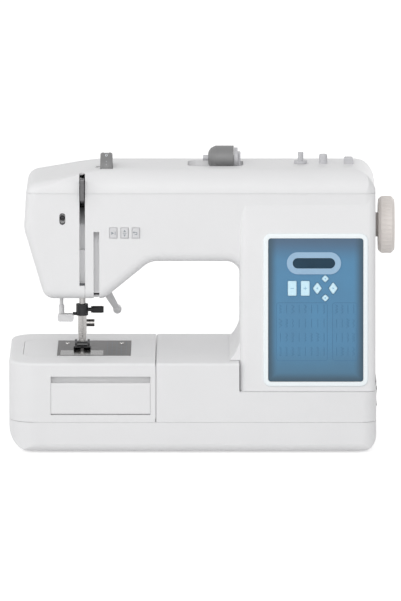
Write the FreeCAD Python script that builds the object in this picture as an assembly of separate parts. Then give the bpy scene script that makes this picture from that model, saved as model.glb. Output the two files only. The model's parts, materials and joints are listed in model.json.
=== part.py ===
import FreeCAD, Part
import math
import os

# A free-arm domestic sewing machine in millimetres.
# +X runs to the handwheel, +Y to the back, +Z up; the origin is on the table under the middle.
V = FreeCAD.Vector

# Overall sizes
base_length = 390.0         # left end of the extension table to the right wall of the bed
wheel_proud = 20.0          # handwheel beyond that wall
base_depth = 180.0
foot_height = 2.0
foot_radius = 9.0
tray_height = 32.0
bed_height = 98.0           # sewing surface above the table
column_seam = 67.0          # where the column covers stand on the bed housing
head_bottom = 160.0
arm_under = 200.0
body_top = 298.0
cover_height = 24.0         # top cover, from its joint to the top
shoulder_drop = 14.0        # head's left end under the top
arm_depth = 112.0
column_width = 144.0
column_inset = 1.0          # column's right wall inside the bed's right wall
slope_drop = 36.0           # top to where the column's front starts to lean forward
front_flare = 30.0          # lean of the column's front at the seam
rear_slope_top = 205.0
rear_flare = 28.0
head_width = 85.0           # head, left end to the start of the arm's underside slope
head_slope = 49.0           # run of the slope from the head's bottom to the arm
head_taper = 22.0           # how far the left end draws in at the bottom

# Walls, gaps and fits
wall = 2.6
seam = 0.4                  # gap between two covers
running = 0.05              # radial gap of a shaft in its bush
sliding = 0.3               # gap of a key, lever or cover that moves
edge_round = 11.0           # rounded edges of arm and head
top_round = 24.0            # long edges of the top, front and back
end_round = 25.0            # top corner over the handwheel
column_round = 7.0
toe_reach = 11.0            # flare at the foot of the column's left wall
toe_height = 34.0
tray_left_round = 25.0
keel_round = 9.0            # long lower edges of the tray
tray_right_round = 17.0
plan_left_round = 28.0
plan_right_round = 14.0

# Free arm, bed and extension table
table_border = 15.0         # free arm's end inside the table's left end
free_arm_front = 50.0       # in front of the needle
free_arm_back = 50.0
free_arm_height = 42.0
table_length = 155.5
door_width = 105.0
door_height = 34.0
door_inset = 5.5            # from the door's right end to the table's right end
door_rise = 8.0             # door's lower edge above the table's lower edge
groove_height = 7.0         # finger groove along the door's top edge
plate_length = 78.0
plate_margin = 4.0          # needle plate inside the free arm's edges
plate_thick = 2.4
bobbin_cover_length = 46.0
bobbin_cover_depth = 33.0

# Stitch mechanism
needle_from_left = 77.0     # needle line from the left end of the table
stroke = 28.0               # travel of the needle bar
needle_low = 17.0           # needle point under the bed at the bottom of the stroke
needle_length = 38.0
bar_radius = 3.2
shaft_drop = 66.0           # upper shaft under the top
shaft_radius = 6.0
crank_radius = 20.0
crank_thick = 8.0
crank_gap = 20.0            # needle line to the crank disc
rod_thick = 5.5
rod_length = 42.0
crank_pin_gap = 1.2         # crank pin to the connecting rod
presser_back = 15.0         # presser bar behind the needle
presser_radius = 3.5
lower_drop = 28.0           # lower shaft under the bed surface
lower_forward = 2.0         # lower shaft in front of the needle
lower_radius = 4.0
hook_forward = 24.0         # hook's upright axis in front of the needle
hook_radius = 21.0
hook_depth = 14.0
hook_gear_radius = 13.5
drive_gear_radius = 8.0
bobbin_radius = 10.3
bobbin_height = 10.5
slot_width = 6.0            # thread slots in the head
slot_step = 15.0            # left slot to right slot
bush_wall = 3.0

# Drive in the column
wheel_radius = 30.0
wheel_width = 17.5
wheel_hub = 13.0
timing_radius = 14.0
belt_width = 10.0
belt_thick = 1.6
belt_gap = 0.3
big_pulley_radius = 28.0
motor_pulley_radius = 7.0
motor_radius = 21.0
motor_length = 60.0
motor_back = 30.0           # motor axis behind the upper shaft
motor_height = 112.0
motor_shaft_radius = 2.5
can_wall = 3.0

# Control panel, measured on its sloping face
panel_width = 101.0
panel_height = 152.0
bezel_margin = 5.0
bezel_thick = 2.0
panel_right = 13.0          # panel's right edge from the column's right wall
panel_rise = 10.0           # panel's lower edge above the column seam
display_width = 45.0
display_height = 11.0
display_border = 6.2
display_drop = 26.5         # display's middle under the panel's upper edge
key_width = 9.0
key_height = 15.5
key_step = 13.8
key_drop = 53.0             # keys' middle under the panel's upper edge
arrow_across = 8.4          # arrow pad's middle to the middle of its left and right lobes
arrow_along = 10.2          # and of its upper and lower lobes
side_lobe = (4.6, 6.4)      # half width and half height of a lobe
end_lobe = (3.9, 3.8)
button_width = 8.0
button_height = 11.0
button_step = 12.0

# Places that follow from these sizes
left_x = -(base_length + wheel_proud) / 2.0
right_x = left_x + base_length
front_y = -base_depth / 2.0
back_y = base_depth / 2.0
tray_top = foot_height + tray_height
table_right = left_x + table_length
arm_front = -arm_depth / 2.0
arm_back = arm_depth / 2.0
column_right = right_x - column_inset
column_left = column_right - column_width
needle_x = left_x + needle_from_left
head_left = needle_x - 61.0
head_right = head_left + head_width
cover_seam = body_top - cover_height
shoulder = body_top - shoulder_drop
slope_top = body_top - slope_drop
shaft_z = body_top - shaft_drop
lower_z = bed_height - lower_drop
lower_y = -lower_forward
hook_y = -hook_forward
free_arm_bottom = bed_height - free_arm_height
free_arm_left = left_x + table_border
tilt = math.degrees(math.atan2(front_flare, slope_top - column_seam))
rear_lean = rear_flare / (rear_slope_top - column_seam)
front_lean = front_flare / (slope_top - column_seam)


# Solids from a few numbers
def block(x0, x1, y0, y1, z0, z1):
    return Part.makeBox(x1 - x0, y1 - y0, z1 - z0, V(x0, y0, z0))


def rod_x(y, z, radius, x0, x1):
    return Part.makeCylinder(radius, x1 - x0, V(x0, y, z), V(1, 0, 0))


def rod_y(x, z, radius, y0, y1):
    return Part.makeCylinder(radius, y1 - y0, V(x, y0, z), V(0, 1, 0))


def rod_z(x, y, radius, z0, z1):
    return Part.makeCylinder(radius, z1 - z0, V(x, y, z0), V(0, 0, 1))


def fuse(first, *others):
    return first.fuse(list(others)).removeSplitter()


# An outline is a list of corners (u, v, radius); each corner is rounded by a tangent arc.
def corner_arc(before, corner, after):
    here = V(corner[0], corner[1], 0)
    one = (V(before[0], before[1], 0) - here).normalize()
    two = (V(after[0], after[1], 0) - here).normalize()
    half = one.getAngle(two) / 2.0
    reach = corner[2] / math.tan(half)
    middle = here + (one + two).normalize() * (corner[2] / math.sin(half) - corner[2])
    return here + one * reach, middle, here + two * reach


def outline_face(points, place):
    count = len(points)
    arcs = []
    for i in range(count):
        corner = points[i]
        if corner[2] > 0:
            arcs.append(corner_arc(points[i - 1], corner, points[(i + 1) % count]))
        else:
            here = V(corner[0], corner[1], 0)
            arcs.append((here, None, here))
    edges = []
    for i in range(count):
        start, middle, end = arcs[i]
        if middle is not None:
            edges.append(Part.Arc(place(start), place(middle), place(end)).toShape())
        following = arcs[(i + 1) % count][0]
        if (following - end).Length > 1e-6:
            edges.append(Part.LineSegment(place(end), place(following)).toShape())
    return Part.Face(Part.Wire(edges))


def prism_x(points, x0, x1):
    return outline_face(points, lambda p: V(x0, p.x, p.y)).extrude(V(x1 - x0, 0, 0))


def prism_y(points, y0, y1):
    return outline_face(points, lambda p: V(p.x, y0, p.y)).extrude(V(0, y1 - y0, 0))


def prism_z(points, z0, z1):
    return outline_face(points, lambda p: V(p.x, p.y, z0)).extrude(V(0, 0, z1 - z0))


# The same outline drawn in by a wall; outer corners get tighter and inner corners wider.
def inset(points, depth):
    count = len(points)
    area = 0.0
    for i in range(count):
        one, two = points[i - 1], points[i]
        area += one[0] * two[1] - two[0] * one[1]
    side = 1.0 if area > 0 else -1.0
    lines = []
    for i in range(count):
        one, two = points[i], points[(i + 1) % count]
        along = V(two[0] - one[0], two[1] - one[1], 0).normalize()
        normal = V(-along.y, along.x, 0) * side
        lines.append((V(one[0], one[1], 0) + normal * depth, along))
    result = []
    for i in range(count):
        (p, a), (q, b) = lines[i - 1], lines[i]
        cross = a.x * b.y - a.y * b.x
        step = ((q.x - p.x) * b.y - (q.y - p.y) * b.x) / cross
        here = p + a * step
        radius = points[i][2]
        if radius > 0:
            outer_corner = cross * side > 0
            radius = max(radius - depth, 0.5) if outer_corner else radius + depth
        result.append((here.x, here.y, radius))
    return result


def box_outline(u0, u1, v0, v1, radius):
    return [(u0, v0, radius), (u1, v0, radius), (u1, v1, radius), (u0, v1, radius)]


def round_edges(shape, radius, chosen):
    return shape.makeFillet(radius, [edge for edge in shape.Edges if chosen(edge)])


# Rings of revolution: a profile of (distance along the axis, radius) turned about the axis
def turned(profile, origin, axis):
    across = V(0, 0, 1) if abs(axis.z) < 0.5 else V(1, 0, 0)
    corners = [origin + axis * along + across * radius for along, radius in profile]
    return Part.Face(Part.makePolygon(corners + corners[:1])).revolve(origin, axis, 360)


# A belt round two pulleys in a plane across X
def belt_loop(one, one_radius, two, two_radius, x0, width, thick):
    def band(grow):
        first = rod_x(one[0], one[1], one_radius + grow, x0, x0 + width)
        second = rod_x(two[0], two[1], two_radius + grow, x0, x0 + width)
        span = V(0, two[0] - one[0], two[1] - one[1])
        along = V(span).normalize()
        across = V(0, -along.z, along.y)
        lean = (one_radius - two_radius) / span.Length
        corners = []
        for side in (1, -1):
            normal = along * lean + across * side * math.sqrt(1 - lean * lean)
            start = V(x0, one[0], one[1]) + normal * (one_radius + grow)
            end = V(x0, two[0], two[1]) + normal * (two_radius + grow)
            corners += [start, end] if side == 1 else [end, start]
        web = Part.Face(Part.makePolygon(corners + corners[:1])).extrude(V(width, 0, 0))
        return fuse(first, second, web)
    return band(thick).cut(band(0.0))


# Control panel frame: first along +X, second up the slope, third out of the face
panel_left = column_right - panel_right - panel_width
panel_low = column_seam + panel_rise
panel_base = V(panel_left, arm_front - (slope_top - panel_low) * front_lean, panel_low)
panel_turn = FreeCAD.Rotation(V(1, 0, 0), 90 - tilt)


def on_panel(shape):
    placed = shape.copy()
    placed.Placement = FreeCAD.Placement(panel_base, panel_turn).multiply(shape.Placement)
    return placed


# Casing: tray, bed, free arm and extension table
def plan_outline(x0, x1, left_round, right_round):
    return [(x0, front_y, left_round), (x1, front_y, right_round),
            (x1, back_y, right_round), (x0, back_y, left_round)]


tray_plan = plan_outline(left_x, right_x, plan_left_round, plan_right_round)
tray_side = [(left_x, foot_height, tray_left_round), (right_x, foot_height, tray_right_round),
             (right_x, tray_top + tray_height, 0), (left_x, tray_top + tray_height, 0)]
tray_keel = [(front_y, foot_height, keel_round), (back_y, foot_height, keel_round),
             (back_y, tray_top + tray_height, 0), (front_y, tray_top + tray_height, 0)]
tray_floor = foot_height + wall


def base_tray():
    outer = prism_z(tray_plan, foot_height, tray_top)
    outer = outer.common(prism_y(tray_side, front_y, back_y)).common(prism_x(tray_keel, left_x, right_x))
    inner = prism_z(inset(tray_plan, wall), foot_height, tray_top + wall)
    inner = inner.common(prism_y(inset(tray_side, wall), front_y, back_y))
    inner = inner.common(prism_x(inset(tray_keel, wall), left_x, right_x))
    return outer.cut(inner)


foot_inset_left = 48.0
foot_inset_right = 36.0
foot_inset_y = 34.0


def rubber_feet():
    feet = []
    for x in (left_x + foot_inset_left, right_x - foot_inset_right):
        for y in (front_y + foot_inset_y, back_y - foot_inset_y):
            foot = rod_z(x, y, foot_radius, 0.0, foot_height)
            feet.append(round_edges(foot, 1.2, lambda edge: edge.BoundBox.ZMax < 0.01))
    return Part.makeCompound(feet)


bed_left = table_right + seam
bed_low = tray_top + seam
switch_y = -24.0
switch_width = 14.0
switch_height = 20.0
inlet_y = 18.0
inlet_width = 30.0
inlet_height = 21.0
side_fitting_z = (bed_low + column_seam) / 2.0
rocker_axis_x = right_x - wall / 2.0
rocker_pin = 0.9
# Opening between bed and column for the lower shaft and the casting's beam
drive_window = block(column_left - 3 * wall, column_left + 3 * wall, lower_y - 3 * lower_radius, 40.0,
                     lower_z - 3 * lower_radius, lower_z + 3 * lower_radius)


def bed_housing():
    plan = plan_outline(bed_left, right_x, 3.0, plan_right_round)
    low = prism_z(plan, bed_low, column_seam - seam)
    plan_bed = plan_outline(bed_left, column_left - seam, 3.0, 0.0)
    high = prism_z(plan_bed, bed_low, bed_height)
    high = round_edges(high, 3.0, lambda edge: edge.BoundBox.ZMin > bed_height - 0.01
                       and edge.BoundBox.XMax < column_left - seam - 0.01
                       and edge.BoundBox.XLength > 1.0)
    outer = fuse(low, high)
    hollow_low = prism_z(inset(plan, wall), bed_low - wall, column_seam - seam - wall)
    hollow_high = prism_z(inset(plan_bed, wall), bed_low - wall, bed_height - wall)
    shell = outer.cut(fuse(hollow_low, hollow_high))
    shell = shell.cut(block(column_left + 2 * wall, column_right - 2 * wall, arm_front - front_flare / 2,
                            arm_back + rear_flare / 2, column_seam - 3 * wall, column_seam + wall))
    shell = shell.cut(drive_window)
    shell = shell.cut(rod_y(rocker_axis_x, side_fitting_z, rocker_pin + running,
                            switch_y - switch_width / 2 - 3, switch_y + switch_width / 2 + 3))
    shell = shell.cut(block(bed_left - wall, bed_left + 2 * wall, -free_arm_front + wall,
                            free_arm_back - wall, free_arm_bottom + wall, bed_height - 2 * wall))
    deck = prism_z(inset(tray_plan, wall + sliding), tray_top - wall, bed_low)
    deck = deck.cut(block(left_x, bed_left, front_y, back_y, tray_top, bed_low))
    deck = deck.cut(prism_z(inset(plan, 2 * wall), tray_top - 2 * wall, bed_low + wall))
    shell = fuse(shell, deck)
    through = right_x - 2 * wall
    shell = shell.cut(block(through, right_x + wall, switch_y - switch_width / 2 - sliding,
                            switch_y + switch_width / 2 + sliding,
                            side_fitting_z - switch_height / 2 - sliding,
                            side_fitting_z + switch_height / 2 + sliding))
    return shell.cut(block(through, right_x + wall, inlet_y - inlet_width / 2,
                           inlet_y + inlet_width / 2, side_fitting_z - inlet_height / 2,
                           side_fitting_z + inlet_height / 2))


plate_x0 = needle_x - 26.0
plate_x1 = plate_x0 + plate_length
plate_y0 = -free_arm_front + plate_margin
plate_y1 = free_arm_back - plate_margin
plate_under = bed_height - plate_thick
ledge = 3.0


def free_arm():
    plan = [(free_arm_left, -free_arm_front, 16.0), (table_right, -free_arm_front, 0),
            (table_right, free_arm_back, 0), (free_arm_left, free_arm_back, 16.0)]
    outer = prism_z(plan, free_arm_bottom, bed_height)
    outer = round_edges(outer, 4.0, lambda edge: edge.BoundBox.ZMax < free_arm_bottom + 0.01
                        and edge.BoundBox.XMin < table_right - 0.01)
    inner = prism_z(inset(plan, wall), free_arm_bottom + wall, bed_height - wall)
    inner = fuse(inner, block(table_right - 2 * wall, table_right + wall, -free_arm_front + wall,
                              free_arm_back - wall, free_arm_bottom + wall, bed_height - wall))
    ring = block(plate_x0 - ledge, plate_x1 + ledge, plate_y0 - plate_margin / 2,
                 plate_y1 + plate_margin / 2, plate_under - wall, plate_under)
    shell = fuse(outer.cut(inner), ring)
    shell = shell.cut(block(plate_x0 - sliding, plate_x1 + sliding, plate_y0 - sliding,
                            plate_y1 + sliding, plate_under, bed_height + wall))
    return shell.cut(block(plate_x0 + ledge, plate_x1 - ledge, plate_y0 + ledge,
                           plate_y1 - ledge, plate_under - 2 * wall, bed_height))


table_low = tray_top + seam
door_x1 = table_right - door_inset
door_x0 = door_x1 - door_width
door_z0 = table_low + door_rise
door_z1 = door_z0 + door_height
door_barrel = 2.6
door_thick = 2.4
door_pin = 1.4
door_pin_length = 2.4
door_axis_y = front_y + door_barrel
door_axis_z = door_z0 + door_barrel
lug = 3.4
door_lip = 3.0              # stop behind the door's ends


def extension_table():
    pocket_front = -free_arm_front - seam
    pocket_back = free_arm_back + seam
    pocket_left = free_arm_left - seam
    plan = [(left_x, front_y, plan_left_round), (table_right, front_y, 0),
            (table_right, pocket_front, 0), (pocket_left, pocket_front, 16.0),
            (pocket_left, pocket_back, 16.0), (table_right, pocket_back, 0),
            (table_right, back_y, 0), (left_x, back_y, plan_left_round)]
    outer = prism_z(plan, table_low, bed_height)
    outer = round_edges(outer, 3.0, lambda edge: edge.BoundBox.ZMin > bed_height - 0.01
                        and (edge.BoundBox.YMax < front_y + plan_left_round + 0.01
                             or edge.BoundBox.YMin > back_y - plan_left_round - 0.01
                             or edge.BoundBox.XMax < left_x + 0.01)
                        and edge.BoundBox.XMin < table_right - 0.01)
    shell = outer.cut(prism_z(inset(plan, wall), table_low - wall, bed_height - wall))
    room_left = door_x0 - 2 * lug
    room = block(room_left - wall, table_right - wall / 2, front_y + wall / 2,
                 pocket_front - wall / 2, table_low, bed_height - wall / 2)
    room = room.cut(block(room_left, table_right - wall, front_y + wall, pocket_front - wall,
                          table_low + wall, bed_height))
    shell = fuse(shell, room)
    shell = shell.cut(block(door_x0 - sliding, door_x1 + sliding, front_y - wall, front_y + 2 * wall,
                            door_z0 - sliding, door_z1 + groove_height))
    for x0 in (door_x0 - sliding - lug, door_x1 + sliding):
        ear = block(x0, x0 + lug, front_y + wall / 2, front_y + 3 * wall,
                    door_z0 - sliding, door_z0 + 3 * door_barrel)
        shell = fuse(shell, ear)
    stop_y = front_y + door_thick + sliding
    for x0 in (door_x0 - sliding - wall, door_x1 - door_lip):
        x1 = x0 + door_lip + sliding + wall
        stop = block(x0, x1, stop_y, stop_y + wall, door_z0 + 3 * door_barrel, door_z1)
        shell = fuse(shell, stop)
    return shell.cut(rod_x(door_axis_y, door_axis_z, door_pin + running,
                           door_x0 - lug, door_x1 + lug))


def table_door():
    panel = block(door_x0, door_x1, front_y, front_y + door_thick, door_axis_z, door_z1)
    panel = round_edges(panel, 1.0, lambda edge: edge.BoundBox.ZMin > door_z1 - 0.01
                        and edge.BoundBox.XLength > 1.0)
    barrel = rod_x(door_axis_y, door_axis_z, door_barrel, door_x0, door_x1)
    pin = rod_x(door_axis_y, door_axis_z, door_pin, door_x0 - door_pin_length,
                door_x1 + door_pin_length)
    return fuse(panel, barrel, pin)


# Upper body: one skin over arm, head and column, parted into covers
left_slot = needle_x + 1.0
right_slot = left_slot + slot_step
slot_half = slot_width / 2.0
slot_depth = 18.0
column_rise = 20.0          # column's profile runs on inside the arm
split_y = 22.0              # joint between front and rear cover
slot_foot = 15.0            # left slot ends this far above the head's bottom
right_slot_top = shaft_z + 1.0
left_slot_top = body_top - 4.0


def body_outline(bottom):
    return [(head_left + head_taper, head_bottom, 13.0), (head_right, head_bottom, 14.0),
            (head_right + head_slope, arm_under, 20.0), (column_left, arm_under, 14.0),
            (column_left, bottom, 0), (column_right, bottom, 0), (column_right, body_top, end_round),
            (head_left + head_width, body_top, 40.0), (head_left + 3.0, shoulder, 14.0),
            (head_left, head_bottom + 75.0, 30.0)]


# Column profile across X, from its foot to inside the arm
def column_side(bottom):
    front = arm_front - (slope_top - bottom) * front_lean
    back = arm_back + (rear_slope_top - bottom) * rear_lean
    return [(front, bottom, 0), (back, bottom, 0),
            (arm_back - column_rise * rear_lean, rear_slope_top + column_rise, 0),
            (arm_front + column_rise * front_lean, slope_top + column_rise, 0)]


def body_solid(depth):
    bottom = column_seam - 4 * depth
    points = inset(body_outline(bottom), depth) if depth else body_outline(bottom)
    low = points[4][1]
    arm = prism_y(points, arm_front + depth, arm_back - depth)
    arm = round_edges(arm, edge_round - depth, lambda edge: edge.BoundBox.YLength < 1e-6
                      and edge.BoundBox.ZMax > low + 1e-6)
    crown = [(arm_front + depth, bottom, 0), (arm_back - depth, bottom, 0),
             (arm_back - depth, body_top - depth, top_round - depth),
             (arm_front + depth, body_top - depth, top_round - depth)]
    arm = arm.common(prism_x(crown, head_left, column_right))
    side = column_side(bottom)
    side = inset(side, depth) if depth else side
    column = prism_x(side, column_left + depth, column_right - depth)
    column = round_edges(column, column_round - depth, lambda edge: edge.BoundBox.XLength < 1e-6
                         and edge.BoundBox.ZLength > 4 * column_rise)
    return fuse(arm, column)


big = 500.0
skin = body_solid(0.0).cut(body_solid(wall))
under_seam = cover_seam - seam / 2.0
over_seam = cover_seam + seam / 2.0
face_right = left_slot - slot_half
needle_gap_x0 = needle_x - 30.0
needle_gap_x1 = needle_x + 16.0
needle_gap_y = 26.0
needle_gap = block(needle_gap_x0, needle_gap_x1, -needle_gap_y, needle_gap_y,
                   head_bottom - wall, head_bottom + 2 * wall)
screw_x = needle_x - 20.0
screw_z = shaft_z + 15.0
screw_head = 2.8
screw_shank = 1.4
recess_depth = 7.0
recess_half_height = 6.0


# Flared toe where the column's left wall meets the bed
def column_toe(y0, y1):
    low = bed_height + seam
    top = low + toe_height
    left = column_left - toe_reach
    curve = Part.Arc(V(left, y0, low), V(column_left - 0.3 * toe_reach, y0, low + 0.3 * toe_height),
                     V(column_left, y0, top)).toShape()
    rest = Part.makePolygon([V(column_left, y0, top), V(column_left + 1, y0, top),
                             V(column_left + 1, y0, low), V(left, y0, low)])
    wedge = Part.Face(Part.Wire([curve] + rest.Edges)).extrude(V(0, y1 - y0, 0))
    inside = prism_x(inset(column_side(column_seam), column_round - 1), left - 1, column_left + 2)
    return wedge.common(inside)


def face_cover():
    region = block(-big, face_right, -big, big, 0, under_seam)
    toe = block(face_right, left_slot + slot_half - seam, -big, arm_front + slot_depth,
                0, head_bottom + slot_foot)
    cover = skin.common(fuse(region, toe)).cut(needle_gap)
    y1 = arm_front + recess_depth

    def oval(grow, y0, y2):
        radius = screw_head + sliding + grow
        reach = recess_half_height - screw_head
        ends = [rod_y(screw_x, z, radius, y0, y2) for z in (screw_z - reach, screw_z + reach)]
        middle = block(screw_x - radius, screw_x + radius, y0, y2, screw_z - reach, screw_z + reach)
        return fuse(middle, *ends)

    boss = oval(wall, arm_front + wall / 2, y1 + wall)
    cover = fuse(cover, boss).cut(oval(0.0, arm_front - 1, y1))
    return cover.cut(rod_y(screw_x, screw_z, screw_shank + sliding, arm_front, y1 + 2 * wall))


button_z = shaft_z
button_x = [needle_x + 34.0 + i * button_step for i in range(3)]
wheel_hole = wheel_hub + 2.0
panel_lip = 4.0             # panel's margin that rests on the cover


def front_cover():
    region = block(left_slot + slot_half, big, -big, split_y - seam / 2, 0, under_seam)
    cover = skin.common(region).cut(needle_gap)
    cover = cover.cut(block(right_slot - slot_half, right_slot + slot_half, -big,
                            arm_front + slot_depth, head_bottom - wall, right_slot_top))
    window = Part.makeBox(panel_width - 2 * panel_lip, panel_height - 2 * panel_lip, 8 * wall,
                          V(panel_lip, panel_lip, -6 * wall))
    cover = cover.cut(on_panel(window))
    for x in button_x:
        cover = cover.cut(block(x - button_width / 2 - sliding, x + button_width / 2 + sliding,
                                arm_front - wall, arm_front + 2 * wall,
                                button_z - button_height / 2 - sliding,
                                button_z + button_height / 2 + sliding))
    cover = fuse(cover.cut(drive_window), column_toe(front_y, split_y - seam / 2))
    return cover.cut(rod_x(0, shaft_z, wheel_hole, column_right - 2 * wall, column_right + wall))


vent_count = 9
vent_width = 3.0
vent_step = 8.0
vent_height = 34.0
vent_z = motor_height - 14.0
lifter_x = needle_x + 12.0
lifter_z = head_bottom + 13.0
lifter_pin = 3.0
lamp_x0 = needle_x + 3.0
lamp_x1 = lamp_x0 + 11.0
lamp_y0 = 34.0
lamp_y1 = 43.0
rear_screws = [(needle_x + 20.0, head_bottom + 60.0), (column_left + 14.0, arm_under + 35.0),
               (column_right - 22.0, arm_under + 35.0)]


def rear_cover():
    region = block(face_right + seam, big, split_y + seam / 2, big, 0, under_seam)
    cover = skin.common(region).cut(needle_gap)
    vent_x = (column_left + column_right) / 2.0 - (vent_count - 1) * vent_step / 2.0
    for i in range(vent_count):
        x = vent_x + i * vent_step
        cover = cover.cut(block(x - vent_width / 2, x + vent_width / 2, arm_back - 3 * wall,
                                back_y, vent_z, vent_z + vent_height))
    cover = fuse(cover.cut(drive_window), column_toe(split_y + seam / 2, back_y))
    for x, z in rear_screws:
        cover = cover.cut(rod_y(x, z, screw_shank + sliding, arm_back - 2 * wall, arm_back + wall))
    cover = cover.cut(rod_y(lifter_x, lifter_z, lifter_pin + sliding, arm_back - 2 * wall, arm_back + wall))
    return cover.cut(block(lamp_x0 - sliding, lamp_x1 + sliding, lamp_y0 - sliding, lamp_y1 + sliding,
                           head_bottom - wall, head_bottom + 2 * wall))


dial_x = needle_x + 26.5
dial_y = -18.0
dial_z = body_top - 3.0
dial_radius = 17.0
dial_width = 13.0
dial_pin = 2.5
dial_cheek = 4.0
spool_x = column_left + 1.0 # right face of the spool pin's post
spool_z = body_top + 6.0
spool_post = 4.0
spool_stop = 3.0
spool_pin_radius = 3.0
spool_pin_length = 40.0
spool_cap_radius = 13.0
spool_cap_width = 27.5
spool_cap_right = spool_x - spool_post - spool_stop
spool_cap_travel = 19.0
trough_gap = 3.0            # beyond the cap's travel and behind the post
trough_half = 20.0
trough_depth = 10.0
trough_x0 = spool_cap_right - spool_cap_width - spool_cap_travel - trough_gap
trough_x1 = spool_x + trough_gap
trough_floor = body_top - trough_depth
winder_x = column_left + 65.0
winder_radius = 3.0
winder_height = 12.0
winder_boss = 18.0
winder_depth = 34.0         # spindle under the top
winder_disc = 7.0
winder_tyre = 11.0
tyre_thick = 5.0
stop_x = winder_x + 24.0
stop_height = 10.0
guide_x = winder_x + 51.0
guide_height = 7.0
guide_half_x = 5.0


def top_cover():
    cover = skin.common(block(-big, big, -big, big, over_seam, big))
    cover = cover.cut(block(left_slot - slot_half, left_slot + slot_half, -big,
                            arm_front + slot_depth, 0, left_slot_top))
    pit = box_outline(trough_x0, trough_x1, -trough_half, trough_half, 10.0)
    tub = prism_z(inset(pit, -wall), trough_floor - wall, body_top - wall / 2)
    cover = fuse(cover, tub).cut(prism_z(pit, trough_floor, body_top + wall))
    gap = dial_width / 2 + sliding
    reach = dial_radius + 1.0
    cover = cover.cut(block(dial_x - gap, dial_x + gap, dial_y - reach, dial_y + reach,
                            over_seam, body_top + wall))
    for side in (-1, 1):
        x0 = dial_x + gap if side > 0 else dial_x - gap - dial_cheek
        cheek = block(x0, x0 + dial_cheek, dial_y - 3 * dial_pin, dial_y + 3 * dial_pin,
                      dial_z - 3 * dial_pin, body_top - wall / 2)
        cover = fuse(cover, cheek)
    pin_hole = rod_x(dial_y, dial_z, dial_pin + running, dial_x - gap - dial_cheek - 1,
                     dial_x + gap + dial_cheek + 1)
    cover = cover.cut(pin_hole)
    boss = rod_z(winder_x, 0, winder_radius + 3.0, body_top - winder_boss, body_top - wall / 2)
    cover = fuse(cover, boss)
    return cover.cut(rod_z(winder_x, 0, winder_radius + running, body_top - winder_boss - 1, body_top + 1))


# Frame casting and its bushes
casting_y = 24.0
casting_thick = 8.0
casting_back = casting_y + casting_thick
head_plate_x0 = needle_x - 27.0
head_plate_x1 = needle_x + 19.0
leg_x0 = column_left + 10.0
leg_x1 = leg_x0 + 28.0
motor_x0 = leg_x1 + 6.0
motor_x1 = motor_x0 + motor_length
timing_x = motor_x1 + 4.0
big_x = timing_x + belt_width + 4.0
bush_outer = shaft_radius + bush_wall
lower_bush_outer = lower_radius + bush_wall
lug_width = 12.0
upper_lugs = [needle_x + 32.0, leg_x0 + 6.0, motor_x1 - 24.0]
lower_lugs = [needle_x - 22.0, leg_x0 - 30.0, motor_x1 - 16.0]
lower_lug_width = 9.0
crank_x1 = needle_x + crank_gap + crank_thick
swing_x = needle_x - 11.0
swing_z = shaft_z + 40.0
swing_pin = 3.0
take_up_y = -14.0
take_up_z = shaft_z + 28.0
take_up_pin = 2.5
take_up_x0 = needle_x + 6.0
take_up_x1 = take_up_x0 + 5.0
guide_low = head_bottom + 5.0
guide_high = shaft_z - 10.0
guide_tall = 9.0
guide_half = 7.0
threader_x = needle_x - 22.0
threader_y = -6.0
threader_radius = 2.0
threader_guide_z = head_bottom + 30.0
hook_shaft_radius = 3.0
hook_bush_outer = hook_shaft_radius + bush_wall
hook_bush_z0 = free_arm_bottom + wall + sliding
hook_lug_top = lower_z - drive_gear_radius - 0.6
beam_z0 = lower_z - 9.5
beam_z1 = lower_z + 9.5
lower_lug_top = lower_z + 8.5
feed_rail_top = beam_z1


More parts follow.
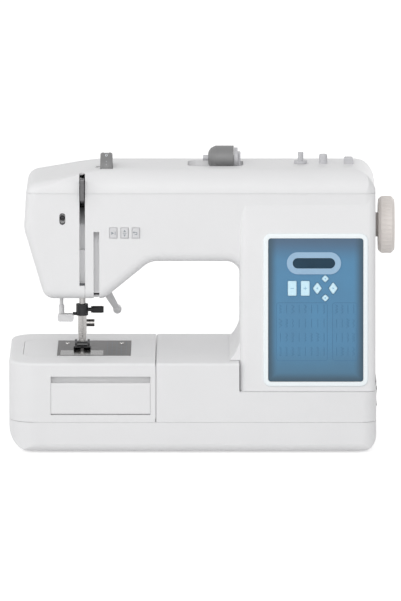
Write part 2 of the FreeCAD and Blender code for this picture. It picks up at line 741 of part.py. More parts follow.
def frame_casting():
    y0, y1 = casting_y, casting_back
    right = upper_lugs[2] + lug_width
    body = block(head_plate_x0, right, y0, y1, arm_under + wall + 5.4, shaft_z + 22)
    head = block(head_plate_x0, head_plate_x1, y0, y1, head_bottom + 4, take_up_z + 5)
    swing = block(head_plate_x0, swing_x + 7, y0, y1, shaft_z, swing_z + 8)
    leg = block(leg_x0, leg_x1, y0, y1, tray_floor, shaft_z)
    foot = block(leg_x0 - 10, leg_x1 + 10, y0 - 14, y1 + 14, tray_floor, tray_floor + 5)
    flange = block(leg_x1 - 1, motor_x0, motor_back - 16, motor_back + 16,
                   motor_height - 16, motor_height + 16)
    beam = block(lower_lugs[0], lower_lugs[2] + lower_lug_width, y0, y1, beam_z0, beam_z1)
    pieces = [head, swing, leg, foot, flange, beam]
    for x in upper_lugs:
        pieces.append(block(x, x + lug_width, -bush_outer - 3, y0, shaft_z - bush_outer - 3,
                            shaft_z + bush_outer + 3))
    for x in lower_lugs:
        pieces.append(block(x, x + lower_lug_width, lower_y - lower_bush_outer - 2, y0,
                            beam_z0, lower_lug_top))
    for z in (guide_low, guide_high):
        pieces.append(block(needle_x - guide_half, needle_x + guide_half, presser_back - guide_half,
                            y0, z, z + guide_tall))
    pieces.append(block(take_up_x0, take_up_x1, take_up_y - 5, y1, take_up_z - 5, take_up_z + 5))
    pieces.append(block(threader_x - 5, threader_x + 5, threader_y - 5, y0,
                        threader_guide_z, threader_guide_z + guide_tall))
    pieces.append(block(needle_x - 8, needle_x + 8, hook_y - hook_bush_outer - 2, y1,
                        hook_bush_z0, hook_lug_top))
    pieces.append(block(needle_x - 12, needle_x + 12, lower_y + drive_gear_radius + 2, y0,
                        feed_rail_top - 4, feed_rail_top))
    body = fuse(body, *pieces)
    holes = [rod_x(0, shaft_z, bush_outer, x - 1, x + lug_width + 1) for x in upper_lugs]
    holes += [rod_x(lower_y, lower_z, lower_bush_outer, x - 1, x + lower_lug_width + 1) for x in lower_lugs]
    holes.append(rod_z(needle_x, presser_back, presser_radius + running, head_bottom, shaft_z))
    holes.append(rod_x(take_up_y, take_up_z, take_up_pin + running, take_up_x0 - 1, take_up_x1 + 1))
    holes.append(rod_y(swing_x, swing_z, swing_pin + running, y0 - 1, y1 + 1))
    holes.append(rod_y(lifter_x, lifter_z, lifter_pin + running, y0 - 1, y1 + 1))
    holes.append(rod_z(threader_x, threader_y, threader_radius + running,
                       threader_guide_z - 1, threader_guide_z + guide_tall + 1))
    holes.append(rod_z(needle_x, hook_y, hook_bush_outer, hook_bush_z0 - 1, hook_lug_top + 1))
    for hole in holes:
        body = body.cut(hole)
    return body


def bushes():
    rings = []
    for x in upper_lugs:
        rings.append(rod_x(0, shaft_z, bush_outer, x, x + lug_width).cut(
            rod_x(0, shaft_z, shaft_radius + running, x - 1, x + lug_width + 1)))
    for x in lower_lugs:
        rings.append(rod_x(lower_y, lower_z, lower_bush_outer, x, x + lower_lug_width).cut(
            rod_x(lower_y, lower_z, lower_radius + running, x - 1, x + lower_lug_width + 1)))
    top = hook_gear_z0 - sliding
    rings.append(rod_z(needle_x, hook_y, hook_bush_outer, hook_bush_z0, top).cut(
        rod_z(needle_x, hook_y, hook_shaft_radius + running, hook_bush_z0 - 1, top + 1)))
    return Part.makeCompound(rings)


# A toothed wheel's outline: straight-sided teeth round a root circle
def toothed_face(radius, root, count, place):
    corners = []
    for i in range(count):
        for share, reach in ((0.0, root), (0.25, root), (0.38, radius), (0.62, radius), (0.75, root)):
            angle = 2 * math.pi * (i + share) / count
            corners.append(place(reach * math.cos(angle), reach * math.sin(angle)))
    return Part.Face(Part.makePolygon(corners + corners[:1]))


# Upper shaft, crank and handwheel
rod_top = shaft_z + stroke / 2.0
rod_low = rod_top - rod_length
rod_x0 = needle_x + 8.0
rod_x1 = rod_x0 + rod_thick
crank_pin_radius = 4.0
wheel_x1 = right_x + wheel_proud
wheel_x0 = wheel_x1 - wheel_width


def crank():
    disc = rod_x(0, shaft_z, crank_radius, crank_x1 - crank_thick, crank_x1)
    pin = rod_x(0, rod_top, crank_pin_radius, rod_x1 + crank_pin_gap, crank_x1)
    return fuse(disc, pin)


def upper_shaft():
    return rod_x(0, shaft_z, shaft_radius, crank_x1, wheel_x1 - 5)


def shaft_pulley():
    low = shaft_radius
    profile = [(timing_x - 2, low), (timing_x - 2, timing_radius + 3), (timing_x - 0.4, timing_radius + 3),
               (timing_x - 0.4, timing_radius), (timing_x + belt_width + 0.4, timing_radius),
               (timing_x + belt_width + 0.4, big_pulley_radius + 3), (big_x - 0.4, big_pulley_radius + 3),
               (big_x - 0.4, big_pulley_radius), (big_x + belt_width + 0.4, big_pulley_radius),
               (big_x + belt_width + 0.4, big_pulley_radius + 3),
               (big_x + belt_width + 2, big_pulley_radius + 3), (big_x + belt_width + 2, low)]
    return turned(profile, V(0, 0, shaft_z), V(1, 0, 0))


def handwheel():
    hub_start = column_right - 8.0
    bevel = 3.0
    dish = 3.0
    profile = [(hub_start, shaft_radius), (hub_start, wheel_hub), (wheel_x0, wheel_hub),
               (wheel_x0, wheel_radius - bevel), (wheel_x0 + bevel, wheel_radius),
               (wheel_x1 - bevel, wheel_radius), (wheel_x1, wheel_radius - bevel),
               (wheel_x1, wheel_radius - 3 * bevel), (wheel_x1 - dish, wheel_radius - 4 * bevel),
               (wheel_x1 - dish, shaft_radius)]
    return turned(profile, V(0, 0, shaft_z), V(1, 0, 0))


# Lower shaft, hook and bobbin
hook_top = bed_height - 5.0
hook_z0 = hook_top - hook_depth
hook_gear_height = 8.0
hook_gear_z0 = lower_z - hook_gear_height / 2.0
hook_wall = 1.5
case_radius = hook_radius - hook_wall - 0.6
case_floor = hook_z0 + 2.0 + sliding
bobbin_z0 = case_floor + 1.6 + sliding
bobbin_bore = 3.0
gear_width = 9.0


def lower_shaft():
    return rod_x(lower_y, lower_z, lower_radius, lower_lugs[0] - 2, timing_x + belt_width + 2)


def lower_pulley():
    profile = [(timing_x - 2, lower_radius), (timing_x - 2, timing_radius + 3),
               (timing_x - 0.4, timing_radius + 3), (timing_x - 0.4, timing_radius),
               (timing_x + belt_width + 0.4, timing_radius), (timing_x + belt_width + 0.4, timing_radius + 3),
               (timing_x + belt_width + 2, timing_radius + 3), (timing_x + belt_width + 2, lower_radius)]
    return turned(profile, V(0, lower_y, lower_z), V(1, 0, 0))


def hook_drive_gear():
    x0 = needle_x - gear_width / 2.0
    face = toothed_face(drive_gear_radius, drive_gear_radius - 1.6, 24,
                        lambda a, b: V(x0, lower_y + a, lower_z + b))
    gear = face.extrude(V(gear_width, 0, 0))
    return gear.cut(rod_x(lower_y, lower_z, lower_radius, x0 - 1, x0 + gear_width + 1))


def rotary_hook():
    face = toothed_face(hook_gear_radius, hook_gear_radius - 1.6, 12,
                        lambda a, b: V(needle_x + a, hook_y + b, hook_gear_z0))
    gear = face.extrude(V(0, 0, hook_gear_height))
    shaft = rod_z(needle_x, hook_y, hook_shaft_radius, hook_bush_z0 + sliding, hook_z0)
    cup = rod_z(needle_x, hook_y, hook_radius, hook_z0, hook_top)
    cup = cup.cut(rod_z(needle_x, hook_y, hook_radius - hook_wall, hook_z0 + 2.0, hook_top + 1))
    neck = rod_z(needle_x, hook_y, 2 * hook_shaft_radius, hook_gear_z0 + hook_gear_height - 1, hook_z0 + 1)
    notch = block(needle_x, needle_x + hook_radius + 1, hook_y - hook_radius - 1, hook_y - hook_radius / 2,
                  hook_top - 5, hook_top + 1)
    return fuse(gear, shaft, neck, cup.cut(notch))


def bobbin_case():
    case = rod_z(needle_x, hook_y, case_radius, case_floor, hook_top)
    return case.cut(rod_z(needle_x, hook_y, bobbin_radius + 0.7, case_floor + 1.6, hook_top + 1))


def bobbin():
    z0, z1 = bobbin_z0, bobbin_z0 + bobbin_height
    flange = 1.0
    profile = [(z0, bobbin_bore), (z0, bobbin_radius), (z0 + flange, bobbin_radius),
               (z0 + flange, bobbin_bore + 1.5), (z1 - flange, bobbin_bore + 1.5),
               (z1 - flange, bobbin_radius), (z1, bobbin_radius), (z1, bobbin_bore)]
    return turned(profile, V(needle_x, hook_y, 0), V(0, 0, 1))


# Motor and belts
def drive_motor():
    can = rod_x(motor_back, motor_height, motor_radius, motor_x0, motor_x1)
    can = round_edges(can, 2.5, lambda edge: edge.BoundBox.XLength < 0.01)
    can = can.cut(rod_x(motor_back, motor_height, motor_radius - can_wall,
                        motor_x0 + can_wall, motor_x1 - can_wall))
    return can.cut(rod_x(motor_back, motor_height, motor_shaft_radius + running,
                         motor_x1 - 2 * can_wall, motor_x1 + 1))


def motor_pulley():
    shaft = rod_x(motor_back, motor_height, motor_shaft_radius, motor_x0 + can_wall + sliding,
                  big_x + belt_width + 2)
    rotor = rod_x(motor_back, motor_height, motor_radius - 2 * can_wall, motor_x0 + 2 * can_wall,
                  motor_x1 - 2 * can_wall)
    wheel = rod_x(motor_back, motor_height, motor_pulley_radius, big_x - 0.4, big_x + belt_width + 0.4)
    rims = [rod_x(motor_back, motor_height, motor_pulley_radius + 3, x, x + 1.6)
            for x in (big_x - 2, big_x + belt_width + 0.4)]
    return fuse(shaft, rotor, wheel, *rims)


def timing_belt():
    return belt_loop((lower_y, lower_z), timing_radius + belt_gap, (0, shaft_z),
                     timing_radius + belt_gap, timing_x, belt_width, belt_thick)


def motor_belt():
    return belt_loop((motor_back, motor_height), motor_pulley_radius + belt_gap, (0, shaft_z),
                     big_pulley_radius + belt_gap, big_x, belt_width, belt_thick)


# Needle bar and what rides on it
needle_tip = bed_height - needle_low + stroke
needle_top = needle_tip + needle_length
bar_bottom = needle_top - 14.0
bar_top = shaft_z + 48.0
swing_low = head_bottom + 3.5
swing_arm = 8.0
swing_arm_z = bar_top - stroke - swing_arm - 2.0
swing_arm_low = 6.0
clamp_z0 = bar_bottom + 1.0
clamp_z1 = clamp_z0 + 12.0
clamp_radius = 6.5


def needle_bar_frame():
    half = 6.0
    spine = block(swing_x - 2, swing_x + 2, -half, half, swing_low, swing_z + 6)
    top = block(swing_x - 2, needle_x + bar_radius + 1.6, -half, half, swing_arm_z, swing_arm_z + swing_arm)
    low = block(swing_x - 2, needle_x + bar_radius + 1.6, -half, half, swing_low, swing_low + swing_arm_low)
    pin = rod_y(swing_x, swing_z, swing_pin, -half, casting_back)
    bore = rod_z(needle_x, 0, bar_radius + running, swing_low - 1, bar_top)
    return fuse(spine, top, low, pin).cut(bore)


def needle_bar():
    bar = rod_z(needle_x, 0, bar_radius, bar_bottom, bar_top)
    return bar.cut(rod_z(needle_x, 0, 1.0, bar_bottom - 1, needle_top))


def connecting_rod():
    web = block(rod_x0, rod_x1, -4, 4, rod_low, rod_top)
    eye = rod_x(0, rod_top, 6.5, rod_x0, rod_x1)
    collar = block(needle_x - bar_radius - 2, rod_x1, -6, 6, rod_low - 5, rod_low + 5)
    rod = fuse(web, eye, collar).cut(rod_x(0, rod_top, crank_pin_radius + running, rod_x0 - 1, rod_x1 + 1))
    return rod.cut(rod_z(needle_x, 0, bar_radius, rod_low - 10, rod_low + 10))


def needle_clamp():
    collar = rod_z(needle_x, 0, clamp_radius, clamp_z0, clamp_z1)
    middle = (clamp_z0 + clamp_z1) / 2.0
    thumb = rod_x(0, middle, 3.5, needle_x + clamp_radius + 3, needle_x + 23)
    stem = rod_x(0, middle, 2.0, needle_x + bar_radius, needle_x + clamp_radius + 4)
    guide = block(needle_x - 10, needle_x - bar_radius, -1.5, 1.5, clamp_z0, clamp_z0 + 3)
    return fuse(collar, thumb, stem, guide).cut(rod_z(needle_x, 0, bar_radius, clamp_z0 - 1, clamp_z1 + 1))


def needle():
    shank = rod_z(needle_x, 0, 1.0, needle_top - 12, needle_top)
    blade = rod_z(needle_x, 0, 0.5, needle_tip + 3, needle_top - 12)
    point = Part.makeCone(0.1, 0.5, 3, V(needle_x, 0, needle_tip))
    return fuse(shank, blade, point)


take_up_thick = 4.0


def take_up_lever():
    x0 = left_slot - take_up_thick / 2.0
    hub = rod_x(take_up_y, take_up_z, 5.0, x0, x0 + take_up_thick)
    tip_y = arm_front - 8.0
    tip_z = left_slot_top - 3.0
    blade = prism_x([(take_up_y + 3, take_up_z - 3, 0), (take_up_y + 3, take_up_z + 3, 0),
                     (tip_y + 6, tip_z, 2), (tip_y, tip_z, 2), (tip_y - 1, tip_z - 24, 1.5),
                     (tip_y + 3, tip_z - 24, 1.5), (tip_y + 5, tip_z - 11, 2)],
                    x0, x0 + take_up_thick)
    pin = rod_x(take_up_y, take_up_z, take_up_pin, x0, take_up_x1 + 0.5)
    eye = rod_x(tip_y + 4, tip_z - 4, 1.2, x0 - 1, x0 + take_up_thick + 1)
    return fuse(hub, blade, pin).cut(eye)


# Presser bar, foot and lifter
foot_sole = 2.4
foot_gap = 0.1
foot_half = 9.0
foot_slot = 5.2
foot_front = -12.0
foot_back = 16.0
ankle_z0 = bed_height + 14.0
ankle_z1 = ankle_z0 + 20.0
presser_low = ankle_z0 + 6.0
presser_top = shaft_z + 14.0
presser_step_z = lifter_z + 5.0


def presser_bar():
    bar = rod_z(needle_x, presser_back, presser_radius, presser_low, presser_top)
    step = block(needle_x - 6, lifter_x + 4, presser_back - 7, presser_back + 7,
                 presser_step_z, presser_step_z + 6)
    return fuse(bar, step)


def foot_holder():
    ankle = block(needle_x - 4.5, needle_x + 4.5, presser_back - 5, presser_back + 5, ankle_z0, ankle_z1)
    fork = block(needle_x - 4, needle_x + 4, presser_back - 7, presser_back - 1,
                 bed_height + 5.5, ankle_z0 + 1)
    screw = rod_x(presser_back, ankle_z0 + 11, 4.0, needle_x + 4, needle_x + 13)
    holder = fuse(ankle, fork, screw)
    return holder.cut(rod_z(needle_x, presser_back, presser_radius, presser_low, ankle_z1 + 1))


def presser_foot():
    z0 = bed_height + foot_gap
    sole = block(needle_x - foot_half, needle_x + foot_half, foot_front, foot_back, z0, z0 + foot_sole)
    sole = sole.cut(block(needle_x - foot_slot, needle_x + foot_slot, -4, 4, z0 - 1, z0 + foot_sole + 1))
    sole = sole.cut(block(needle_x - 1.5, needle_x + 1.5, foot_front - 1, 0, z0 - 1, z0 + foot_sole + 1))
    y = presser_back - 5
    lugs = [block(needle_x + side * 6.8 - 1.2, needle_x + side * 6.8 + 1.2, y - 3, y + 3,
                  z0 + foot_sole, bed_height + 8) for side in (-1, 1)]
    bar = rod_x(y, bed_height + 4.2, 1.2, needle_x - 7, needle_x + 7)
    return fuse(sole, bar, *lugs)


lever_length = 50.0
lever_thick = 6.0
lever_gap = 1.5


def lifter_lever():
    y0 = arm_back + lever_gap
    drop = math.radians(60)
    tip = V(lifter_x + lever_length * math.cos(drop), 0, lifter_z - lever_length * math.sin(drop))
    shaft = rod_y(lifter_x, lifter_z, lifter_pin, presser_back - 6, y0 + lever_thick)
    cam = rod_y(lifter_x, lifter_z, 4.6, presser_back - 6, presser_back + 6)
    hub = rod_y(lifter_x, lifter_z, 8.0, y0, y0 + lever_thick)
    across = V(math.sin(drop), 0, math.cos(drop))
    root = V(lifter_x, y0, lifter_z)
    end = V(tip.x, y0, tip.z)
    corners = [root + across * 6, end + across * 3, end - across * 3, root - across * 6]
    arm = Part.Face(Part.makePolygon(corners + corners[:1])).extrude(V(0, lever_thick, 0))
    pad = rod_y(tip.x, tip.z, 4.5, y0, y0 + lever_thick + 3)
    return fuse(shaft, cam, hub, arm, pad)


threader_low = head_bottom - 17.0
threader_travel = 24.0


def needle_threader():
    cap_z0 = threader_guide_z + guide_tall + threader_travel + 1
    cap_z1 = cap_z0 + 3
    stem = rod_z(threader_x, threader_y, threader_radius, threader_low, cap_z1)
    cap = rod_z(threader_x, threader_y, threader_radius + 2, cap_z0, cap_z1)
    tab = round_edges(block(threader_x - 4, threader_x + 13, threader_y - 8, threader_y + 1,
                            threader_low - 14, threader_low - 6), 2.5,
                      lambda edge: edge.BoundBox.YLength > 8)
    post = rod_z(threader_x, threader_y, threader_radius + 1, threader_low - 7, threader_low + 3)
    return fuse(stem, cap, tab, post)


# Feed dog, needle plate and bobbin cover
feed_y0 = 3.0
feed_y1 = 20.0
feed_travel = 2.5
feed_bars = (-6.0, 4.0)
feed_bar_width = 3.0
feed_teeth = 8
cover_x0 = needle_x - bobbin_cover_length / 2.0
cover_x1 = cover_x0 + bobbin_cover_length
cover_y0 = plate_y0 + 4.0
cover_y1 = cover_y0 + bobbin_cover_depth - 4.0
cover_thick = 1.7


def feed_dog():
    z0 = feed_rail_top + sliding
    dog = block(needle_x - 10, needle_x + 10, feed_y0, feed_y1 + 1, z0, z0 + 5)
    for offset in feed_bars:
        x0 = needle_x + offset
        bar = block(x0, x0 + feed_bar_width, feed_y0, feed_y1, z0 + 4, bed_height - 0.4)
        pitch = (feed_y1 - feed_y0) / feed_teeth
        for i in range(feed_teeth):
            y = feed_y0 + i * pitch
            notch = prism_x([(y, bed_height - 0.4, 0), (y + pitch * 0.9, bed_height - 0.4, 0),
                             (y, bed_height - 1.4, 0)], x0 - 1, x0 + feed_bar_width + 1)
            bar = bar.cut(notch)
        dog = fuse(dog, bar)
    return dog


plate_screw_inset = 10.0
plate_screw_y = 28.0


def needle_plate():
    plate = block(plate_x0, plate_x1, plate_y0, plate_y1, plate_under, bed_height)
    for offset in feed_bars:
        x0 = needle_x + offset
        plate = plate.cut(block(x0 - 0.5, x0 + feed_bar_width + 0.5, feed_y0 - feed_travel - 0.5,
                                feed_y1 + feed_travel + 0.5, plate_under - 1, bed_height + 1))
    plate = plate.cut(block(needle_x - 5, needle_x + 5, -1.3, 1.3, plate_under - 1, bed_height + 1))
    plate = plate.cut(block(cover_x0 - sliding, cover_x1 + sliding, cover_y0 - sliding, cover_y1 + sliding,
                            bed_height - cover_thick, bed_height + 1))
    plate = plate.cut(block(cover_x0 + 2, cover_x1 - 2, cover_y0 + 2, cover_y1 - 2,
                            plate_under - 1, bed_height))
    for x in (plate_x0 + plate_screw_inset, plate_x1 - plate_screw_inset):
        plate = plate.cut(rod_z(x, plate_screw_y, screw_head + 0.2, bed_height - 1.2, bed_height + 1))
        plate = plate.cut(rod_z(x, plate_screw_y, screw_shank + sliding, plate_under - 1, bed_height))
    return plate


def bobbin_cover():
    outline = box_outline(cover_x0, cover_x1, cover_y0, cover_y1, 1.0)
    return prism_z(outline, bed_height - cover_thick, bed_height)


def screws():
    group = []
    for x, z in rear_screws:
        group.append(fuse(rod_y(x, z, screw_head, arm_back, arm_back + 2),
                          rod_y(x, z, screw_shank, arm_back - 10, arm_back)))
    seat = arm_front + recess_depth
    group.append(fuse(rod_y(screw_x, screw_z, screw_head, seat - 1.8, seat),
                      rod_y(screw_x, screw_z, screw_shank, seat, seat + 8)))
    for x in (plate_x0 + plate_screw_inset, plate_x1 - plate_screw_inset):
        group.append(fuse(rod_z(x, plate_screw_y, screw_head, bed_height - 1.2, bed_height),
                          rod_z(x, plate_screw_y, screw_shank, bed_height - 8, bed_height - 1.2)))
    return Part.makeCompound(group)


# Top fittings
def tension_dial():
    gap = dial_width / 2.0
    wheel = rod_x(dial_y, dial_z, dial_radius, dial_x - gap, dial_x + gap)
    wheel = round_edges(wheel, 1.5, lambda edge: edge.BoundBox.XLength < 0.01)
    reach = gap + sliding + dial_cheek
    pin = rod_x(dial_y, dial_z, dial_pin, dial_x - reach, dial_x + reach)
    return fuse(wheel, pin)


def spool_pin():
    post_left = spool_x - spool_post
    post = block(post_left, spool_x, -6, 6, trough_floor, spool_z + 6)
    stop = rod_x(0, spool_z, spool_cap_radius - 2, spool_cap_right, post_left + 1)
    pin = rod_x(0, spool_z, spool_pin_radius, spool_x - spool_pin_length, post_left)
    return fuse(post, stop, pin)


def spool_cap():
    low = spool_pin_radius + sliding
    full = spool_cap_radius
    profile = [(sliding, low), (sliding, full), (0.72 * spool_cap_width, full),
               (0.9 * spool_cap_width, 0.8 * full), (0.98 * spool_cap_width, 0.55 * full),
               (spool_cap_width, 0.4 * full), (spool_cap_width, low)]
    mirrored = [(spool_cap_right - along, radius) for along, radius in profile]
    return turned(mirrored, V(0, 0, spool_z), V(1, 0, 0))


def bobbin_winder():
    low = body_top - winder_depth
    spindle = rod_z(winder_x, 0, winder_radius, low, body_top + winder_height)
    disc = rod_z(winder_x, 0, winder_disc, body_top + sliding, body_top + 3)
    tyre = rod_z(winder_x, 0, winder_tyre, low + 1, low + 1 + tyre_thick)
    return fuse(spindle, disc, tyre)


# Bobbin stop and the thread guide beside it
def winder_stop():
    def above(edge):
        return edge.BoundBox.ZMin > body_top + 1
    stop = rod_z(stop_x, 0, 4.5, body_top, body_top + stop_height)
    guide = block(guide_x - guide_half_x, guide_x + guide_half_x, -5, 5, body_top, body_top + guide_height)
    return Part.makeCompound([round_edges(stop, 1.5, above), round_edges(guide, 2.0, above)])


def lamp_lens():
    z1 = head_bottom + wall
    lens = block(lamp_x0, lamp_x1, lamp_y0, lamp_y1, head_bottom - 1, z1)
    flange = block(lamp_x0 - 1.5, lamp_x1 + 1.5, lamp_y0 - 1.5, lamp_y1 + 1.5, z1, z1 + 1.5)
    return fuse(lens, flange)


# Side fittings
def power_switch():
    half_y = switch_width / 2.0
    half_z = switch_height / 2.0
    low, high = side_fitting_z - half_z, side_fitting_z + half_z
    inner_x, outer_x = right_x - 9, right_x + 1.5
    rocker = prism_y([(inner_x, low + 2, 0), (outer_x, low + 0.4, 0), (right_x + 0.8, side_fitting_z, 0),
                      (outer_x, high - 0.4, 0), (inner_x, high - 2, 0)], switch_y - half_y, switch_y + half_y)
    pin = rod_y(rocker_axis_x, side_fitting_z, rocker_pin, switch_y - half_y - 2, switch_y + half_y + 2)
    return fuse(rocker, pin)


def mains_inlet():
    half_y = inlet_width / 2.0
    half_z = inlet_height / 2.0
    body = block(right_x - 18, right_x, inlet_y - half_y + 0.1, inlet_y + half_y - 0.1,
                 side_fitting_z - half_z + 0.1, side_fitting_z + half_z - 0.1)
    flange = block(right_x, right_x + 1.5, inlet_y - half_y - 2, inlet_y + half_y + 2,
                   side_fitting_z - half_z - 2, side_fitting_z + half_z + 2)
    socket = block(right_x - 15, right_x + 2, inlet_y - 9, inlet_y + 9,
                   side_fitting_z - 5, side_fitting_z + 5)
    shell = fuse(body, flange).cut(socket)
    pins = [rod_x(inlet_y + side * 4, side_fitting_z, 1.2, right_x - 16, right_x - 3) for side in (-1, 1)]
    return fuse(shell, *pins)


# Control panel, drawn flat and then laid on the sloping face
display_u = panel_width / 2.0 - 2.0
display_v = panel_height - display_drop
key_v = panel_height - key_drop
key_u = [display_u - 23.0 + i * key_step for i in range(2)]
arrow_u = display_u + 12.0
arrow_v = key_v
overlay_thick = 1.8
key_proud = 1.4             # keys above the overlay
key_under = 2.6             # keys' flange below the panel's seat
board_w = -8.0
board_thick = 1.6
axle_radius = 1.7           # arrow pad's rocking axle, just above the board
axle_half = 8.0
axle_w = board_w + board_thick + sliding + axle_radius


def pill(u, v, width, height, w0, w1):
    half_w, half_h = width / 2.0, height / 2.0
    return prism_z(box_outline(u - half_w, u + half_w, v - half_h, v + half_h, half_h - 0.01), w0, w1)


def key_solid(u, v, width, height, w0, w1, round_corner):
    half_w, half_h = width / 2.0, height / 2.0
    return prism_z(box_outline(u - half_w, u + half_w, v - half_h, v + half_h, round_corner), w0, w1)


def arrow_lobes(grow, w0, w1):
    places = [(arrow_across, 0.0, side_lobe), (-arrow_across, 0.0, side_lobe),
              (0.0, arrow_along, end_lobe), (0.0, -arrow_along, end_lobe)]
    lobes = []
    for across, along, (half_w, half_h) in places:
        u, v = arrow_u + across, arrow_v + along
        half_w, half_h = half_w + grow, half_h + grow
        corners = [(u + half_w, v, 1.0), (u, v + half_h, 1.0), (u - half_w, v, 1.0), (u, v - half_h, 1.0)]
        lobes.append(prism_z(corners, w0, w1))
    return lobes


def panel_bezel():
    frame = key_solid(panel_width / 2, panel_height / 2, panel_width + 2 * bezel_margin,
                      panel_height + 2 * bezel_margin, 0, bezel_thick, 8.0)
    frame = round_edges(frame, 1.2, lambda edge: edge.BoundBox.ZMin > bezel_thick - 0.01)
    return on_panel(frame.cut(key_solid(panel_width / 2, panel_height / 2, panel_width, panel_height,
                                        -1, bezel_thick + 1, 3.0)))


def control_panel():
    overlay = key_solid(panel_width / 2, panel_height / 2, panel_width - 0.4, panel_height - 0.4,
                        0, overlay_thick, 3.0)
    overlay = overlay.cut(pill(display_u, display_v, display_width, display_height, -1, overlay_thick + 1))
    for u in key_u:
        overlay = overlay.cut(key_solid(u, key_v, key_width + 2 * sliding, key_height + 2 * sliding,
                                        -1, overlay_thick + 1, 1.2))
    return on_panel(overlay.cut(arrow_lobes(2 * sliding, -1, overlay_thick + 1)))


def display_bezel():
    ring = pill(display_u, display_v, display_width + 2 * display_border, display_height + 2 * display_border,
                overlay_thick, overlay_thick + 1)
    return on_panel(ring.cut(pill(display_u, display_v, display_width, display_height, 0, overlay_thick + 2)))


def lcd_window():
    pane = pill(display_u, display_v, display_width - 0.2, display_height - 0.2, 0, overlay_thick + 0.4)
    return on_panel(pane)


def panel_key(u):
    top = key_solid(u, key_v, key_width, key_height, -key_under, overlay_thick + key_proud, 1.0)
    flange = key_solid(u, key_v, key_width + 2, key_height + 2, -key_under, -sliding, 1.0)
    return on_panel(fuse(top, flange))


def arrow_pad():
    post = Part.makeCylinder(axle_radius, 2 * axle_half, V(arrow_u - axle_half, arrow_v, axle_w), V(1, 0, 0))
    half_w = arrow_across + side_lobe[0]
    half_h = arrow_along + end_lobe[1]
    plate = key_solid(arrow_u, arrow_v, 2 * half_w, 2 * half_h, -3.0, -1.2, 9.0)
    return on_panel(fuse(plate, post, *arrow_lobes(0.0, -key_under, overlay_thick + key_proud)))


def circuit_boards():
    u0, u1 = 3 * panel_lip, panel_width - 3 * panel_lip
    v0, v1 = 4 * panel_lip, panel_height - 4 * panel_lip
    front = Part.makeBox(u1 - u0, v1 - v0, board_thick, V(u0, v0, board_w))
    posts = [Part.makeCylinder(2.0, -board_w, V(u, v, board_w))
             for u in (u0 + 3, u1 - 3) for v in (v0 + 3, v1 - 3)]
    front = on_panel(fuse(front, *posts))
    x0, x1 = column_left + 20, column_right - 34
    y0, y1 = front_y + 20, -20.0
    power = block(x0, x1, y0, y1, tray_floor + 7, tray_floor + 8.6)
    stands = [rod_z(x, y, 3.0, tray_floor, tray_floor + 7.5)
              for x in (x0 + 6, x1 - 6) for y in (y0 + 6, y1 - 6)]
    return Part.makeCompound([front, fuse(power, *stands)])


def front_button(x):
    half_w, half_h = button_width / 2.0, button_height / 2.0
    cap = round_edges(block(x - half_w, x + half_w, arm_front - 1.6, arm_front + 5,
                            button_z - half_h, button_z + half_h), 1.2,
                      lambda edge: edge.BoundBox.YMax < arm_front - 1.5)
    flange = block(x - half_w - 1.5, x + half_w + 1.5, arm_front + wall + sliding, arm_front + 5,
                   button_z - half_h - 1.5, button_z + half_h + 1.5)
    return fuse(cap, flange)


builders = [
    base_tray, rubber_feet, bed_housing, free_arm, needle_plate, front_cover, rear_cover, top_cover,
    face_cover, frame_casting, bushes, panel_bezel, control_panel, display_bezel, lcd_window,
    circuit_boards, drive_motor, timing_belt, motor_belt, mains_inlet, lamp_lens, spool_pin,
    winder_stop, bobbin_case, screws, handwheel, upper_shaft, crank, shaft_pulley, lower_shaft,
    lower_pulley, hook_drive_gear, rotary_hook, motor_pulley, bobbin, needle_bar_frame, needle_bar,
    connecting_rod, needle_clamp, needle, take_up_lever, presser_bar, foot_holder, presser_foot,
    lifter_lever, needle_threader, feed_dog, bobbin_cover, extension_table, table_door,
    tension_dial, spool_cap, bobbin_winder, power_switch, arrow_pad,
]
nodes = {build.__name__: build() for build in builders}
for name, x in zip(("start_stop_button", "needle_position_button", "reverse_button"), button_x):
    nodes[name] = front_button(x)
for name, u in zip(("stitch_key_left", "stitch_key_right"), key_u):
    nodes[name] = panel_key(u)

os.makedirs("parts", exist_ok=True)
for name, shape in nodes.items():
    if not shape.isValid():
        print("not valid:", name)
    shape.exportStep("parts/" + name + ".step")
print(len(nodes), "nodes,", sum(len(shape.Solids) for shape in nodes.values()), "solids")
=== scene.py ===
import json
import math

import bmesh
import bpy
from mathutils import Matrix, Vector


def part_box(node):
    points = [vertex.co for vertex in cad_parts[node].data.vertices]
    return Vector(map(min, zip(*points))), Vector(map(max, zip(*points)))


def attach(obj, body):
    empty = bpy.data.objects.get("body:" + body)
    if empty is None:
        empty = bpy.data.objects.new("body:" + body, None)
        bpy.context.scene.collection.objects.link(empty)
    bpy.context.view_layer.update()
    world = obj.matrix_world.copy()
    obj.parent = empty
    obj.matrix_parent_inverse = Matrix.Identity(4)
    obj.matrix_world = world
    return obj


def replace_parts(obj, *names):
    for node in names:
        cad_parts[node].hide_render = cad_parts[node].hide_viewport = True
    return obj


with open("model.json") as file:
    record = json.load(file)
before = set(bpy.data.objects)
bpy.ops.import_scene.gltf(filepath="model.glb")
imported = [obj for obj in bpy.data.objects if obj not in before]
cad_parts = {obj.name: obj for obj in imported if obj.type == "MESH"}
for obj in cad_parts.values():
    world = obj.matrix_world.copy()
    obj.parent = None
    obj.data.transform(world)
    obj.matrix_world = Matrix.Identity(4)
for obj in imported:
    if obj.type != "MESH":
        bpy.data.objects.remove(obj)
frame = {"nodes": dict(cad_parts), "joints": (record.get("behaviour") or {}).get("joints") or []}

scene = bpy.context.scene
nodes = frame["nodes"]
joints = {joint["name"]: joint for joint in frame["joints"]}
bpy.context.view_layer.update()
mm = 0.001


# a place of the frame in mm, rounded because the frame is in single precision
def placeInMm(place):
    return Vector([round(part / mm, 4) for part in place])


